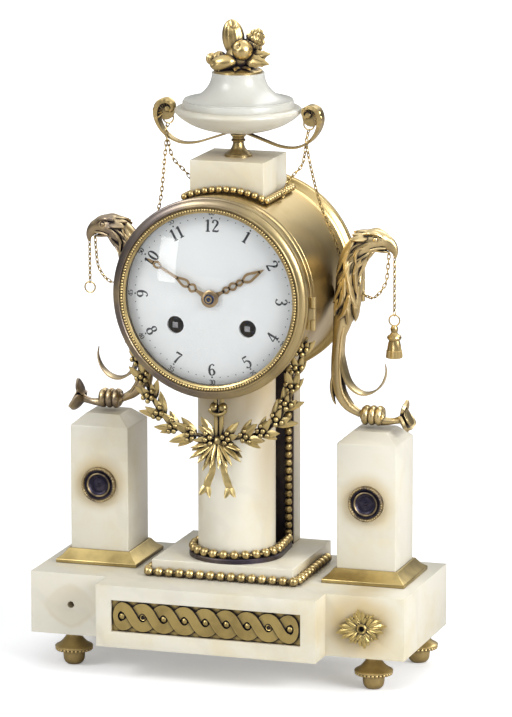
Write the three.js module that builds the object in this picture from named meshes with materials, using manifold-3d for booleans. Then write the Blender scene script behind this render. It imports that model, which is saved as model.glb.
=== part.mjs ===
// Mantel clock in white marble and gilt bronze: a drum clock carried on a marble column
// between two pedestals, with eagle supports, a laurel garland and a covered urn on top.
// Lengths are millimetres. +Z is up, the dial faces -Y, and +X is on the viewer's right.

import * as THREE from "three";
import { mergeVertices } from "three/addons/utils/BufferGeometryUtils.js";
import Module from "manifold-3d";

const wasm = await Module();
wasm.setup();

// Clearances
const seatGap = 0.3;
const runningGap = 0.3;

// Marble base with its breakfront
const baseWidth = 242.6;
const baseDepth = 95.8;
const baseThickness = 39.2;
const breakfrontWidth = 142;
const breakfrontReach = 20.8;

// Turned feet with a threaded stud
const footHeight = 22;
const footRimRadius = 12;
const footCupRadius = 6.9;
const footNeckRadius = 4.5;
const footStudRadius = 2.5;
const footStudLength = 10;
const frontFootReach = 23.3;
const rearFootReach = 13.8;
const footInset = 13.9;

// Guilloche panel let into the breakfront
const panelWidth = 122;
const panelHeight = 19.5;
const panelThickness = 3;
const panelRecess = 1;
const panelRise = 20;
const panelStudCount = 9;
const panelStudRadius = 2.6;
const panelStudHeight = 0.9;

// Leaf rosette on the right wing, and the bare screw hole of the lost left one
const rosetteWidth = 34;
const rosetteHeight = 26;
const rosetteThickness = 3;
const rosetteScrewRadius = 2;
const rosetteScrewLength = 9;
const rosetteTilt = 11;
const rosetteShift = 1.15;
const rosetteRise = 19.3;

// Marble pedestals, their bronze collars and medallions
const pedestalSpacing = 174.4;
const pedestalSetback = 51.9;
const pedestalWidth = 38.1;
const pedestalHeight = 87.2;
const pedestalTopInset = 8;
const pedestalTopHeight = 7;
const collarReach = 7.6;
const collarHeight = 8.6;
const collarFillet = 2.3;
const medallionRadius = 11.2;
const medallionThickness = 3.6;
const medallionRise = 50.4;

// Marble plinth, column and rear pier under the drum
const plinthWidth = 92;
const plinthMargin = 1.5;
const plinthThickness = 10;
const plinthFrontSetback = 13.4;
const columnRadius = 24.2;
const columnForward = 8.5;
const pierWidth = 52.4;
const pierThickness = 13.8;
const pendulumGap = 9.8;
const facingThickness = 1.2;

// Rows of bronze beads
const plinthBeadRadius = 2.9;
const plinthBeadPitch = 6.7;
const plinthBeadReach = 66;
const columnBeadRadius = 2.8;
const columnBeadPitch = 6.9;
const columnFilletHeight = 3;
const facingBeadRadius = 2.4;
const facingBeadSpacing = 46.4;
const saddleBeadRadius = 2.3;
const saddleBeadPitch = 5.3;

// Drum case
const drumRise = 181.5;
const drumRadius = 60;
const drumWall = 3;
const drumForward = 58;
const drumDepth = 98.2;
const frontRibHeight = 1.5;
const frontRibWidth = 9;
const rearRimHeight = 4.2;
const rearRimWidth = 6;
const movementLedgeThickness = 1.7;

// Front door: bezel, sight ring and domed glass
const bezelReach = 2.5;
const bezelThickness = 7.4;
const bezelWidth = 5.6;
const sightLip = 2;
const sightSkirt = 1.3;
const glassMargin = 1.6;
const glassRise = 9.2;
const glassThickness = 1.6;

// Rear door and the knuckles of both doors
const rearDoorInset = 1;
const rearDoorThickness = 3;
const knuckleRadius = 1.7;
const knuckleLength = 6.6;
const hingePinRadius = 0.8;
const hingeLeafThickness = 1.5;
const hingeReach = 2.4;
const hingeDrop = 6;

// Enamel dial
const dialMargin = 0.4;
const dialThickness = 2;
const dialRise = 2.6;
const dialSetback = 1.6;
const dialHoleMargin = 0.8;
const dialFootRadius = 1.5;
const dialFootCircle = 40;
const windingHoleRadius = 5.4;
const windingSpread = 23.1;
const windingDrop = 17.8;

// Hands, clockwise angles from twelve o'clock as the clock stands
const minuteHandLength = 46;
const hourHandLength = 39.5;
const handThickness = 0.8;
const handSpacing = 1;
const handBossRadius = 5.2;
const minuteHandAngle = 300;
const hourHandAngle = 60;

// Movement plates and pillars
const plateMargin = 7;
const plateThickness = 2;
const plateSpacing = 36;
const movementSetback = 20;
const pillarRadius = 2.5;
const pillarPinRadius = 1.5;
const pillarPinLength = 4;
const pillarInset = 6.5;

// Wheels: tooth counts and modules
const wheelTeeth = 30;
const pinionLeaves = 6;
const greatModule = 1.244;
const intermediateModule = 0.778;
const centreModule = 0.653;
const thirdModule = 0.622;
const wheelThickness = 1.2;
const greatWheelThickness = 2;
const pinionLength = 4.2;
const arborRadius = 1.1;
const pivotRadius = 0.7;
const thirdWheelAngle = 120;

// Depth of each wheel behind the front plate
const greatWheelDepth = 4;
const barrelLength = 16;
const barrelRadius = 17.5;
const centreWheelDepth = 10;
const thirdWheelDepth = 16;
const escapeWheelDepth = 22;
const intermediateWheelDepth = 26;

// Winding arbors
const windingArborRadius = 2.6;
const windingSquare = 3.4;
const ratchetRadius = 7;
const ratchetTeeth = 14;
const ratchetThickness = 1.5;

// Motion work between the front plate and the dial
const cannonTeeth = 8;
const minuteWheelTeeth = 24;
const minutePinionLeaves = 6;
const hourWheelTeeth = 24;
const motionCentres = 18;
const motionAngle = 30;
const minuteWheelDepth = 5;
const hourWheelDepth = 10;
const pipeGap = 0.4;
const pipeWall = 0.65;
const handNutRadius = 3;
const handNutThickness = 1.4;

// Escapement, pendulum and bell
const escapeTeeth = 30;
const escapeRadius = 8.5;
const escapeToothHeight = 1.8;
const palletCentres = 12.5;
const palletSpan = 90;
const palletClearance = 0.9;
const palletThickness = 2;
const crutchLength = 24;
const crutchPinReach = 2.6;
const cockWidth = 20;
const cockHeight = 8;
const cockThickness = 2;
const cockReach = 14;
const pendulumDrop = 25.8;
const pendulumRodRadius = 0.9;
const pendulumEyeRadius = 3.2;
const pendulumThickness = 1.8;
const pendulumBobRadius = 12.5;
const pendulumBobClearance = 2.1;
const slotWidth = 18;
const slotDepth = 9;
const bellShare = 0.66;
const bellDepth = 9.5;
const bellWall = 1.4;
const bellSetback = 25;
const bellStandOffset = 24;
const bellStandRadius = 1.6;
const hammerOffsetShare = 0.76;
const hammerDropShare = 0.44;
const hammerHeadRadius = 3;
const hammerHeadLength = 6;
const hammerClearance = 0.6;

// Marble block and covered urn
const blockWidth = 47.4;
const blockFront = 28.1;
const blockBack = 19.5;
const blockRise = 19.4;
const urnForward = 4.3;
const stemFootRadius = 8.6;
const stemWaistRadius = 3.3;
const stemTopRadius = 5;
const stemHeight = 13.7;
const bowlRadius = 39.4;
const bowlFootRadius = 8;
const bowlHeight = 15.6;
const lidRadius = 34.4;
const lidBand = 4;
const lidNeckRadius = 16.2;
const lidHeight = 21.5;

// Bronze handle strip under the urn, ending in a scroll at each side
const handleWidth = 5;
const handleThickness = 1.2;
const handleDip = 7.4;
const handleSpan = 53.5;
const handleScrollRise = 19.6;

// Fruit finial
const finialHeight = 33;
const finialFootRadius = 15;

// Eagles, garland, chains and tassel
const eagleThickness = 8.4;
const clawRadius = 7.2;
const flareRadius = 8.4;
const garlandForward = 44;
const garlandHangShare = 0.5283;
const garlandStem = 1.5;
const garlandLeafWidth = 5.2;
const garlandLeafLength = 14;
const ribbonDrop = 36;
const chainRadius = 0.8;
const chainRingRadius = 3.4;
const chainRingWire = 0.5;
const pendantLength = 42.6;
const tasselLength = 20;
const tasselRadius = 5.6;
const strayEndLength = 30;

// Facets
const drumFacets = 32;
const turnedFacets = 18;
const smallFacets = 12;
const pivotFacets = 8;
const arborFacets = 6;

// Places worked out from the sizes above
const baseTop = footHeight + baseThickness;
const baseFront = -pedestalSetback;
const baseBack = baseFront + baseDepth;
const breakfrontFace = baseFront - breakfrontReach;
const pedestalX = pedestalSpacing / 2;
const pedestalShoulder = baseTop + pedestalHeight;
const pedestalTop = pedestalShoulder + pedestalTopHeight;
const plinthTop = baseTop + plinthThickness;
const plinthFront = baseFront + plinthFrontSetback;
const drumAxis = baseTop + drumRise;
const drumFront = -drumForward;
const drumBack = drumFront + drumDepth;
const drumBore = drumRadius - drumWall;
const frontRibRadius = drumRadius + frontRibHeight;
const rearRimRadius = drumRadius + rearRimHeight;
const bezelRadius = drumRadius + bezelReach;
const sightOuter = bezelRadius - bezelWidth - seatGap;
const glassRadius = sightOuter - sightSkirt - seatGap;
const sightRadius = glassRadius - glassMargin;
const rearDoorRadius = rearRimRadius - rearDoorInset;
const rosetteOffset = (breakfrontWidth + baseWidth) / 4 - rosetteShift;
const dialRadius = drumBore - dialMargin;
const plateRadius = drumBore - plateMargin;
const pillarCircle = plateRadius - pillarInset;
const bellRadius = plateRadius * bellShare;
const hammerOffset = plateRadius * hammerOffsetShare;
const hammerDrop = plateRadius * hammerDropShare;
const cannonBore = arborRadius + pipeGap;
const cannonPipeRadius = cannonBore + pipeWall;
const hourBore = cannonPipeRadius + pipeGap;
const hourPipeRadius = hourBore + pipeWall;
const dialHoleRadius = hourPipeRadius + dialHoleMargin;
const columnBack = columnRadius - columnForward;
const facingFront = columnBack + pendulumGap;
const pierFront = facingFront + facingThickness;
const pierBack = pierFront + pierThickness;
const pendulumSetback = (columnBack + facingFront) / 2;
const pendulumBobThickness = pendulumGap - 2 * pendulumBobClearance;
const garlandDrop = drumRadius * (1 + garlandHangShare);
const doorBack = drumFront - seatGap;
const doorFront = doorBack - bezelThickness;
const movementFront = drumFront + movementSetback;
const blockTop = drumAxis + drumRadius + blockRise;
const stemTop = blockTop + stemHeight;
const bowlFoot = stemTop + handleThickness;
const lidFoot = bowlFoot + bowlHeight;
const lidTop = lidFoot + lidHeight;
const halfTurn = Math.PI;
const fullTurn = Math.PI * 2;

// Metal, stone and enamel of the pieces
const finishes = {
  marble: { color: 0xece6d8, roughness: 0.32, metalness: 0 },
  gilt: { color: 0xb8924a, roughness: 0.34, metalness: 1 },
  patina: { color: 0x5d4a2c, roughness: 0.46, metalness: 1 },
  brass: { color: 0xc6a45a, roughness: 0.3, metalness: 1 },
  steel: { color: 0x8b8f96, roughness: 0.35, metalness: 1 },
  enamel: { color: 0xe6ebee, roughness: 0.16, metalness: 0 },
  glass: { color: 0xf2f6f7, roughness: 0.04, metalness: 0, transparent: true, opacity: 0.2 },
};

// Solids: closing, joining and cutting

function radians(degrees) {
  return THREE.MathUtils.degToRad(degrees);
}

function solidOf(geometry) {
  const bare = new THREE.BufferGeometry();
  bare.setAttribute("position", geometry.getAttribute("position"));
  bare.setIndex(geometry.index);
  const merged = mergeVertices(bare, 1e-4);
  const places = merged.getAttribute("position");
  const corner = [new THREE.Vector3(), new THREE.Vector3(), new THREE.Vector3()];
  const kept = [];
  let volume = 0;
  for (let at = 0; at < merged.index.count; at += 3) {
    const ids = [0, 1, 2].map((step) => merged.index.getX(at + step));
    if (new Set(ids).size === 3) {
      ids.forEach((id, step) => corner[step].fromBufferAttribute(places, id));
      volume += corner[0].dot(corner[1].clone().cross(corner[2]));
      kept.push(ids);
    }
  }
  const facing = volume > 0 ? kept : kept.map(([a, b, c]) => [a, c, b]);
  return new wasm.Manifold(new wasm.Mesh({
    numProp: 3,
    vertProperties: new Float32Array(places.array),
    triVerts: new Uint32Array(facing.flat()),
  }));
}

function geometryOf(solid) {
  const mesh = solid.getMesh();
  const geometry = new THREE.BufferGeometry();
  geometry.setAttribute("position", new THREE.BufferAttribute(mesh.vertProperties, 3));
  geometry.setIndex(new THREE.BufferAttribute(mesh.triVerts, 1));
  geometry.computeVertexNormals();
  return geometry;
}

function join(...geometries) {
  return geometryOf(geometries.map(solidOf).reduce((whole, next) => whole.add(next)));
}

function cut(geometry, ...tools) {
  return geometryOf(tools.map(solidOf).reduce((whole, tool) => whole.subtract(tool), solidOf(geometry)));
}

// Basic forms

function pointsOf(pairs) {
  return pairs.map(([across, along]) => new THREE.Vector2(across, along));
}

function outline(pairs) {
  return new THREE.Shape(pointsOf(pairs));
}

function roundPairs(radius, sides, across = 0, along = 0) {
  return Array.from({ length: sides }, (_, step) => {
    const angle = (step / sides) * fullTurn;
    return [across + radius * Math.cos(angle), along + radius * Math.sin(angle)];
  });
}

function pierce(shape, radius, sides, across, along) {
  shape.holes.push(new THREE.Path(pointsOf(roundPairs(radius, sides, across, along))));
}

function box(fromX, toX, fromY, toY, fromZ, toZ) {
  const geometry = new THREE.BoxGeometry(toX - fromX, toY - fromY, toZ - fromZ);
  return geometry.translate((fromX + toX) / 2, (fromY + toY) / 2, (fromZ + toZ) / 2);
}

// A plan drawn in X and Y, standing from one height to another
function stand(shape, fromZ, toZ) {
  const geometry = new THREE.ExtrudeGeometry(shape, { depth: toZ - fromZ, bevelEnabled: false });
  return geometry.translate(0, 0, fromZ);
}

// A front view drawn in X and Z, running from a front depth to a rear one
function slab(shape, fromY, toY) {
  const geometry = new THREE.ExtrudeGeometry(shape, { depth: toY - fromY, bevelEnabled: false });
  return geometry.rotateX(halfTurn / 2).translate(0, toY, 0);
}

// Turned work: pairs of radius and height about a vertical axis
function turned(pairs, sides) {
  return new THREE.LatheGeometry(pointsOf(pairs), sides).rotateX(halfTurn / 2);
}

// Turned work about the clock's front-to-back axis: pairs of radius and depth
function spun(pairs, sides) {
  return new THREE.LatheGeometry(pointsOf(pairs), sides);
}

// Square work: pairs of half-width and height
function squared(pairs) {
  const diagonal = pairs.map(([half, height]) => [half * Math.SQRT2, height]);
  return new THREE.LatheGeometry(pointsOf(diagonal), 4, halfTurn / 4).rotateX(halfTurn / 2);
}

function rod(radius, fromY, toY, sides) {
  const geometry = new THREE.CylinderGeometry(radius, radius, toY - fromY, sides);
  return geometry.translate(0, (fromY + toY) / 2, 0);
}

function post(radius, fromZ, toZ, sides) {
  const geometry = new THREE.CylinderGeometry(radius, radius, toZ - fromZ, sides);
  return geometry.rotateX(halfTurn / 2).translate(0, 0, (fromZ + toZ) / 2);
}

function ellipsoid(radii, centre, lean = 0, around = 6, along = 5) {
  const geometry = new THREE.SphereGeometry(1, around, along);
  geometry.rotateX(halfTurn / 2).scale(...radii).rotateY(radians(lean));
  return geometry.translate(...centre);
}

// A closed skin over a row of equal rings, either a loop or with capped ends
function skin(rings, looped) {
  const count = rings[0].length;
  const indices = [];
  const joins = looped ? rings.length : rings.length - 1;
  for (let row = 0; row < joins; row += 1) {
    const here = row * count;
    const next = ((row + 1) % rings.length) * count;
    for (let side = 0; side < count; side += 1) {
      const after = (side + 1) % count;
      indices.push(here + side, here + after, next + after);
      indices.push(here + side, next + after, next + side);
    }
  }
  const last = (rings.length - 1) * count;
  for (let side = 1; !looped && side + 1 < count; side += 1) {
    indices.push(0, side + 1, side);
    indices.push(last, last + side, last + side + 1);
  }
  const places = rings.flat().flatMap((point) => point.toArray());
  const geometry = new THREE.BufferGeometry();
  geometry.setAttribute("position", new THREE.Float32BufferAttribute(places, 3));
  geometry.setIndex(indices);
  return geometry;
}

// A ring of points square to a direction; the reference fixes where it starts
function ringAround(centre, direction, reference, across, along, sides) {
  const beside = new THREE.Vector3().crossVectors(direction, reference).normalize();
  const above = new THREE.Vector3().crossVectors(beside, direction).normalize();
  return Array.from({ length: sides }, (_, step) => {
    const angle = ((step + 0.5) / sides) * fullTurn;
    const point = centre.clone().addScaledVector(beside, across * Math.cos(angle));
    return point.addScaledVector(above, along * Math.sin(angle));
  });
}

function directionAt(points, index, looped) {
  const count = points.length;
  const before = looped ? points[(index + count - 1) % count] : points[Math.max(index - 1, 0)];
  const after = looped ? points[(index + 1) % count] : points[Math.min(index + 1, count - 1)];
  return new THREE.Vector3().subVectors(after, before).normalize();
}

const upward = new THREE.Vector3(0, 0, 1);
const backward = new THREE.Vector3(0, 1, 0);

// A row of beads on a string through the given centres
function beads(centres, radius, looped, reference = upward, sides = 5) {
  const string = radius * 0.5;
  const rings = [];
  centres.forEach((centre, index) => {
    const direction = directionAt(centres, index, looped);
    const next = centres[(index + 1) % centres.length];
    if (!looped && index === 0) {
      const start = centre.clone().addScaledVector(direction, -radius);
      rings.push(ringAround(start, direction, reference, string, string, sides));
    }
    rings.push(ringAround(centre, direction, reference, radius, radius, sides));
    const middle = centre.clone().lerp(next, 0.5);
    const onward = new THREE.Vector3().subVectors(next, centre).normalize();
    if (looped || index + 1 < centres.length) {
      rings.push(ringAround(middle, onward, reference, string, string, sides));
    } else {
      const end = centre.clone().addScaledVector(direction, radius);
      rings.push(ringAround(end, direction, reference, string, string, sides));
    }
  });
  return skin(rings, looped);
}

// Evenly spaced centres from one point to another, without the last
function spaced(from, to, pitch) {
  const count = Math.max(1, Math.round(from.distanceTo(to) / pitch));
  return Array.from({ length: count }, (_, step) => from.clone().lerp(to, step / count));
}

// A tapering limb in a vertical plane: rows of X, Z, half-height and half-thickness
function limb(rows, sides = 8) {
  const centres = rows.map(([x, z]) => new THREE.Vector3(x, 0, z));
  const rings = rows.map(([, , half, thick], index) => {
    const direction = directionAt(centres, index, false);
    return ringAround(centres[index], direction, backward, half, thick, sides);
  });
  return skin(rings, false);
}

// A round strand along a smooth route
function strand(route, radius, steps, sides = 5) {
  const curve = new THREE.CatmullRomCurve3(route.map((point) => new THREE.Vector3(...point)));
  const centres = curve.getSpacedPoints(steps);
  const reference = new THREE.Vector3(0.31, 0.93, 0.19).normalize();
  const rings = centres.map((centre, index) => {
    return ringAround(centre, directionAt(centres, index, false), reference, radius, radius, sides);
  });
  return skin(rings, false);
}

function piece(parent, name, finish, geometry, x = 0, y = 0, z = 0) {
  const material = new THREE.MeshStandardMaterial(finishes[finish]);
  const mesh = new THREE.Mesh(geometryOf(solidOf(geometry)), material);
  mesh.name = name;
  mesh.position.set(x, y, z);
  parent.add(mesh);
  return mesh;
}

const clock = new THREE.Group();

// The pieces are placed from the line through both pedestals, then centred on the base
const bench = new THREE.Group();
bench.position.y = -(breakfrontFace + baseBack) / 2;
clock.add(bench);

// Base slab, its feet, panel and rosette

const footPlaces = [
  ["foot_front_left", -1, frontFootReach, baseFront + footInset],
  ["foot_front_right", 1, frontFootReach, baseFront + footInset],
  ["foot_rear_left", -1, rearFootReach, baseBack - footInset],
  ["foot_rear_right", 1, rearFootReach, baseBack - footInset],
].map(([name, side, reach, y]) => ({ name, x: side * (baseWidth / 2 - reach), y }));

function baseSlab() {
  const half = baseWidth / 2;
  const bow = breakfrontWidth / 2;
  const plan = outline([
    [-half, baseFront], [-bow, baseFront], [-bow, breakfrontFace], [bow, breakfrontFace],
    [bow, baseFront], [half, baseFront], [half, baseBack], [-half, baseBack],
  ]);
  const studHoles = footPlaces.map(({ x, y }) => {
    const depth = footHeight + footStudLength + runningGap;
    return post(footStudRadius + runningGap, footHeight - 1, depth, pivotFacets).translate(x, y, 0);
  });
  const panelHalf = panelWidth / 2 + seatGap;
  const panelLow = footHeight + panelRise - panelHeight / 2 - seatGap;
  const panelHigh = footHeight + panelRise + panelHeight / 2 + seatGap;
  const panelBack = breakfrontFace + panelRecess + panelThickness;
  const pocket = box(-panelHalf, panelHalf, breakfrontFace - 1, panelBack, panelLow, panelHigh);
  const screwHoles = [-1, 1].map((side) => {
    const depth = baseFront + rosetteScrewLength + runningGap;
    const hole = rod(rosetteScrewRadius + runningGap, baseFront - 1, depth, pivotFacets);
    return hole.translate(side * rosetteOffset, 0, footHeight + rosetteRise);
  });
  return cut(stand(plan, footHeight, baseTop), pocket, ...studHoles, ...screwHoles);
}

function foot() {
  const rimHeight = footHeight * 0.52;
  const cupHeight = footHeight * 0.42;
  return turned([
    [0, 0], [footCupRadius * 0.6, 0], [footCupRadius, footHeight * 0.14],
    [footCupRadius, cupHeight - 1.5], [footRimRadius, cupHeight + 0.4], [footRimRadius - 0.6, rimHeight],
    [footNeckRadius + 0.8, footHeight * 0.74], [footNeckRadius, footHeight], [footStudRadius, footHeight],
    [footStudRadius, footHeight + footStudLength], [0, footHeight + footStudLength],
  ], smallFacets);
}

function guillochePanel() {
  const plate = box(-panelWidth / 2, panelWidth / 2, 0, panelThickness, -panelHeight / 2, panelHeight / 2);
  const pitch = panelWidth / panelStudCount;
  const studs = Array.from({ length: panelStudCount }, (_, index) => {
    const x = (index - (panelStudCount - 1) / 2) * pitch;
    return rod(panelStudRadius, -panelStudHeight, 1, arborFacets).translate(x, 0, 0);
  });
  return join(plate, ...studs);
}

// Four leaf pairs in a diamond, turned a little on their screw
function baseRosette() {
  const lobes = 8;
  const sides = 48;
  const tilt = radians(rosetteTilt);
  const leaves = outline(Array.from({ length: sides }, (_, step) => {
    const angle = (step / sides) * fullTurn;
    const notch = 0.84 + 0.16 * Math.cos(angle * lobes);
    const diamond = 1 / (Math.abs(Math.cos(angle)) + Math.abs(Math.sin(angle)));
    const reach = notch * (0.55 * diamond + 0.45);
    const across = (rosetteWidth / 2) * reach * Math.cos(angle);
    const rise = (rosetteHeight / 2) * reach * Math.sin(angle);
    return [across * Math.cos(tilt) - rise * Math.sin(tilt), across * Math.sin(tilt) + rise * Math.cos(tilt)];
  }));
  const boss = ellipsoid([4.5, rosetteThickness, 4.5], [0, -rosetteThickness + 0.4, 0]);
  const screw = rod(rosetteScrewRadius, -1, rosetteScrewLength, pivotFacets);
  return join(slab(leaves, -rosetteThickness, 0), boss, screw);
}

piece(bench, "base_slab", "marble", baseSlab());
footPlaces.forEach(({ name, x, y }) => piece(bench, name, "gilt", foot(), x, y, 0));
const panelFace = breakfrontFace + panelRecess;
piece(bench, "guilloche_panel", "gilt", guillochePanel(), 0, panelFace, footHeight + panelRise);
piece(bench, "base_rosette", "gilt", baseRosette(), rosetteOffset, baseFront, footHeight + rosetteRise);

// Pedestals with collars and medallions

function pedestal() {
  const half = pedestalWidth / 2;
  const inner = half - pedestalTopInset;
  return squared([
    [0, baseTop], [half, baseTop], [half, pedestalShoulder], [inner, pedestalTop], [0, pedestalTop],
  ]);
}

function pedestalCollar() {
  const inner = pedestalWidth / 2 + seatGap;
  const outer = pedestalWidth / 2 + collarReach;
  const top = baseTop + collarHeight;
  return squared([
    [inner, baseTop], [outer, baseTop], [outer, baseTop + collarFillet],
    [outer - collarReach * 0.42, baseTop + collarHeight * 0.52],
    [inner + 1, top], [inner, top], [inner, baseTop],
  ]);
}

function medallion() {
  const reach = medallionRadius;
  const high = medallionThickness;
  return spun([
    [0, 0], [reach, 0], [reach, -high * 0.6], [reach * 0.9, -high], [reach * 0.74, -high * 0.8],
    [reach * 0.62, -high * 0.5], [reach * 0.5, -high * 0.9], [reach * 0.34, -high * 0.4],
    [reach * 0.2, -high * 0.8], [0, -high],
  ], smallFacets + 2);
}

[["left", -1], ["right", 1]].forEach(([hand, side]) => {
  const x = side * pedestalX;
  piece(bench, `pedestal_${hand}`, "marble", pedestal(), x);
  piece(bench, `pedestal_collar_${hand}`, "gilt", pedestalCollar(), x);
  piece(bench, `medallion_${hand}`, "patina", medallion(), x, -pedestalWidth / 2, baseTop + medallionRise);
});

// Drum case, and the space that it takes from what carries it

function drumProfile(grow) {
  const rib = frontRibRadius + grow;
  const body = drumRadius + grow;
  const rim = rearRimRadius + grow;
  const band = drumFront + frontRibWidth;
  const rear = drumBack - rearRimWidth;
  return [
    [rib, drumFront - grow], [rib, band + grow], [body, band + 1.5 + grow],
    [body, rear - 4 - grow], [rim, rear - grow], [rim, drumBack + grow],
  ];
}

function drumSpace() {
  const rear = drumBack + rearDoorThickness + 2 * seatGap;
  const rim = rearRimRadius + seatGap;
  const ends = [[0, drumFront - seatGap], ...drumProfile(seatGap), [rim, rear], [0, rear]];
  return spun(ends, drumFacets).translate(0, 0, drumAxis);
}

// Knuckles about a vertical pin at the side of the drum, from a list of height ranges
function knuckles(ranges, pinX, pinY) {
  return ranges.map(([low, high]) => post(knuckleRadius, low, high, pivotFacets).translate(pinX, pinY, 0));
}

const knuckleHalf = knuckleLength / 2;
const caseKnuckles = [
  [-knuckleHalf - runningGap - knuckleLength, -knuckleHalf - runningGap],
  [knuckleHalf + runningGap, knuckleHalf + runningGap + knuckleLength],
];
const frontHingeX = bezelRadius + hingeReach;
const rearHingeX = rearRimRadius + hingeReach;
const hingeZ = -hingeDrop;

function hingeOnCase(pinX, pinY, leafFrom, leafTo, rootX) {
  const leaves = caseKnuckles.map(([low, high]) => box(rootX, pinX, leafFrom, leafTo, low, high));
  const pin = post(hingePinRadius, caseKnuckles[0][0], caseKnuckles[1][1], pivotFacets);
  pin.translate(pinX, pinY, 0);
  return [...leaves, ...knuckles(caseKnuckles, pinX, pinY), pin].map((part) => part.translate(0, 0, hingeZ));
}

function hingeOnDoor(pinX, pinY, leafFrom, leafTo, rootX) {
  const range = [-knuckleHalf, knuckleHalf];
  const bore = post(hingePinRadius + runningGap, -knuckleLength, knuckleLength, pivotFacets);
  const leaf = box(rootX, pinX, leafFrom, leafTo, ...range);
  const whole = cut(join(leaf, ...knuckles([range], pinX, pinY)), bore.translate(pinX, pinY, 0));
  return whole.translate(0, 0, hingeZ);
}

function drumCase() {
  const ledge = (plateRadius + pillarCircle + pillarRadius) / 2;
  const ledgeFront = movementFront + seatGap;
  const ledgeBack = ledgeFront + movementLedgeThickness;
  const shell = spun([
    [drumBore, drumFront], ...drumProfile(0), [drumBore, drumBack],
    [drumBore, ledgeBack], [ledge, ledgeBack], [ledge, ledgeFront], [drumBore, ledgeFront],
    [drumBore, drumFront],
  ], drumFacets);
  const slot = box(
    -slotWidth / 2, slotWidth / 2,
    pendulumSetback - slotDepth / 2, pendulumSetback + slotDepth / 2,
    -rearRimRadius, -drumBore / 2,
  );
  const root = drumRadius - 2;
  const front = hingeOnCase(frontHingeX, drumFront, drumFront, drumFront + hingeLeafThickness, root);
  const rear = hingeOnCase(rearHingeX, drumBack, drumBack - hingeLeafThickness, drumBack, root);
  return join(cut(shell, slot), ...front, ...rear);
}

piece(bench, "drum_case", "gilt", drumCase(), 0, 0, drumAxis);

// Plinth, column, rear pier and their beading

function plinthBeading() {
  const x = plinthWidth / 2 + plinthBeadRadius + seatGap;
  const front = plinthFront - plinthBeadRadius - seatGap;
  const back = front + plinthBeadReach;
  const corners = [[-x, back], [-x, front], [x, front], [x, back]];
  const places = corners.map(([across, along]) => {
    return new THREE.Vector3(across, along, baseTop + plinthBeadRadius);
  });
  const centres = [0, 1, 2].flatMap((side) => spaced(places[side], places[side + 1], plinthBeadPitch));
  return beads([...centres, places[3]], plinthBeadRadius, false);
}

function columnShaft() {
  const plan = outline(roundPairs(columnRadius, drumFacets - 4, 0, -columnForward));
  return cut(stand(plan, plinthTop, drumAxis - drumRadius * 0.8), drumSpace());
}

// The flat fillet that carries the beads round the foot of the column
function columnFillet(route) {
  const half = columnBeadRadius - seatGap;
  const edge = (side) => route.map((centre, index) => {
    const along = directionAt(route, index, false);
    return [centre.x + side * half * along.y, centre.y - side * half * along.x];
  });
  return stand(outline([...edge(1), ...edge(-1).reverse()]), plinthTop, plinthTop + columnFilletHeight);
}

function columnBeading() {
  const ring = columnRadius + columnBeadRadius + seatGap;
  const height = plinthTop + columnFilletHeight + columnBeadRadius * 0.85;
  const back = facingFront - 2 * facingBeadRadius - columnBeadRadius;
  const end = ring - 2;
  const sweep = Math.round((halfTurn * ring) / columnBeadPitch);
  const arc = Array.from({ length: sweep + 1 }, (_, step) => {
    const angle = (step / sweep) * halfTurn;
    return new THREE.Vector3(-ring * Math.cos(angle), -columnForward - ring * Math.sin(angle), height);
  });
  const leftBack = new THREE.Vector3(-end, back, height);
  const rightBack = new THREE.Vector3(end, back, height);
  const left = spaced(leftBack, arc[0], columnBeadPitch);
  const right = spaced(rightBack, arc[sweep], columnBeadPitch).reverse();
  const route = [...left, ...arc, ...right];
  return join(columnFillet(route), beads(route, columnBeadRadius, false));
}

function rearPier() {
  const half = pierWidth / 2;
  const block = box(-half, half, pierFront, pierBack, plinthTop, drumAxis - drumRadius * 0.8);
  return cut(block, drumSpace());
}

function pierFacing() {
  const half = pierWidth / 2;
  const top = drumAxis - drumRadius * 0.8;
  const plate = box(-half, half, facingFront, pierFront, plinthTop, top);
  const strips = [-1, 1].map((side) => {
    const strip = post(facingBeadRadius, plinthTop, top, arborFacets);
    return strip.translate((side * facingBeadSpacing) / 2, facingFront - facingBeadRadius * 0.5, 0);
  });
  return cut(join(plate, ...strips), drumSpace());
}

const plinthHalf = plinthWidth / 2;
const plinthSlab = box(-plinthHalf, plinthHalf, plinthFront, pierBack + plinthMargin, baseTop, plinthTop);
piece(bench, "column_plinth", "marble", plinthSlab);
piece(bench, "plinth_beading", "gilt", plinthBeading());
piece(bench, "column", "marble", columnShaft());
piece(bench, "column_beading", "gilt", columnBeading());
piece(bench, "rear_pier", "marble", rearPier());
piece(bench, "pier_facing", "patina", pierFacing());

// Front door: bezel, sight ring and glass turn together on the front pin

function frontBezel() {
  const inner = bezelRadius - bezelWidth;
  const ring = spun([
    [inner, doorBack], [bezelRadius, doorBack], [bezelRadius, doorBack - 3.2],
    [bezelRadius - 0.9, doorBack - 4.4], [bezelRadius - 2.2, doorFront + 1],
    [bezelRadius - 3.4, doorFront], [inner, doorFront + 0.6], [inner, doorBack],
  ], drumFacets);
  const leafBack = doorBack - 0.2;
  const hinge = hingeOnDoor(frontHingeX, drumFront, leafBack - hingeLeafThickness, leafBack, drumRadius);
  return join(ring, hinge);
}

const glassSeat = doorFront + sightLip + 0.9;

function sightRing() {
  const skirt = sightOuter - sightSkirt;
  const lipBack = doorFront + sightLip;
  const skirtBack = glassSeat + glassThickness + 1.2;
  return spun([
    [sightRadius, doorFront + 0.6], [sightRadius + 1.2, doorFront - 0.3], [sightOuter, doorFront + 0.3],
    [sightOuter, skirtBack], [skirt, skirtBack], [skirt, lipBack], [sightRadius, lipBack],
    [sightRadius, doorFront + 0.6],
  ], drumFacets);
}

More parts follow.
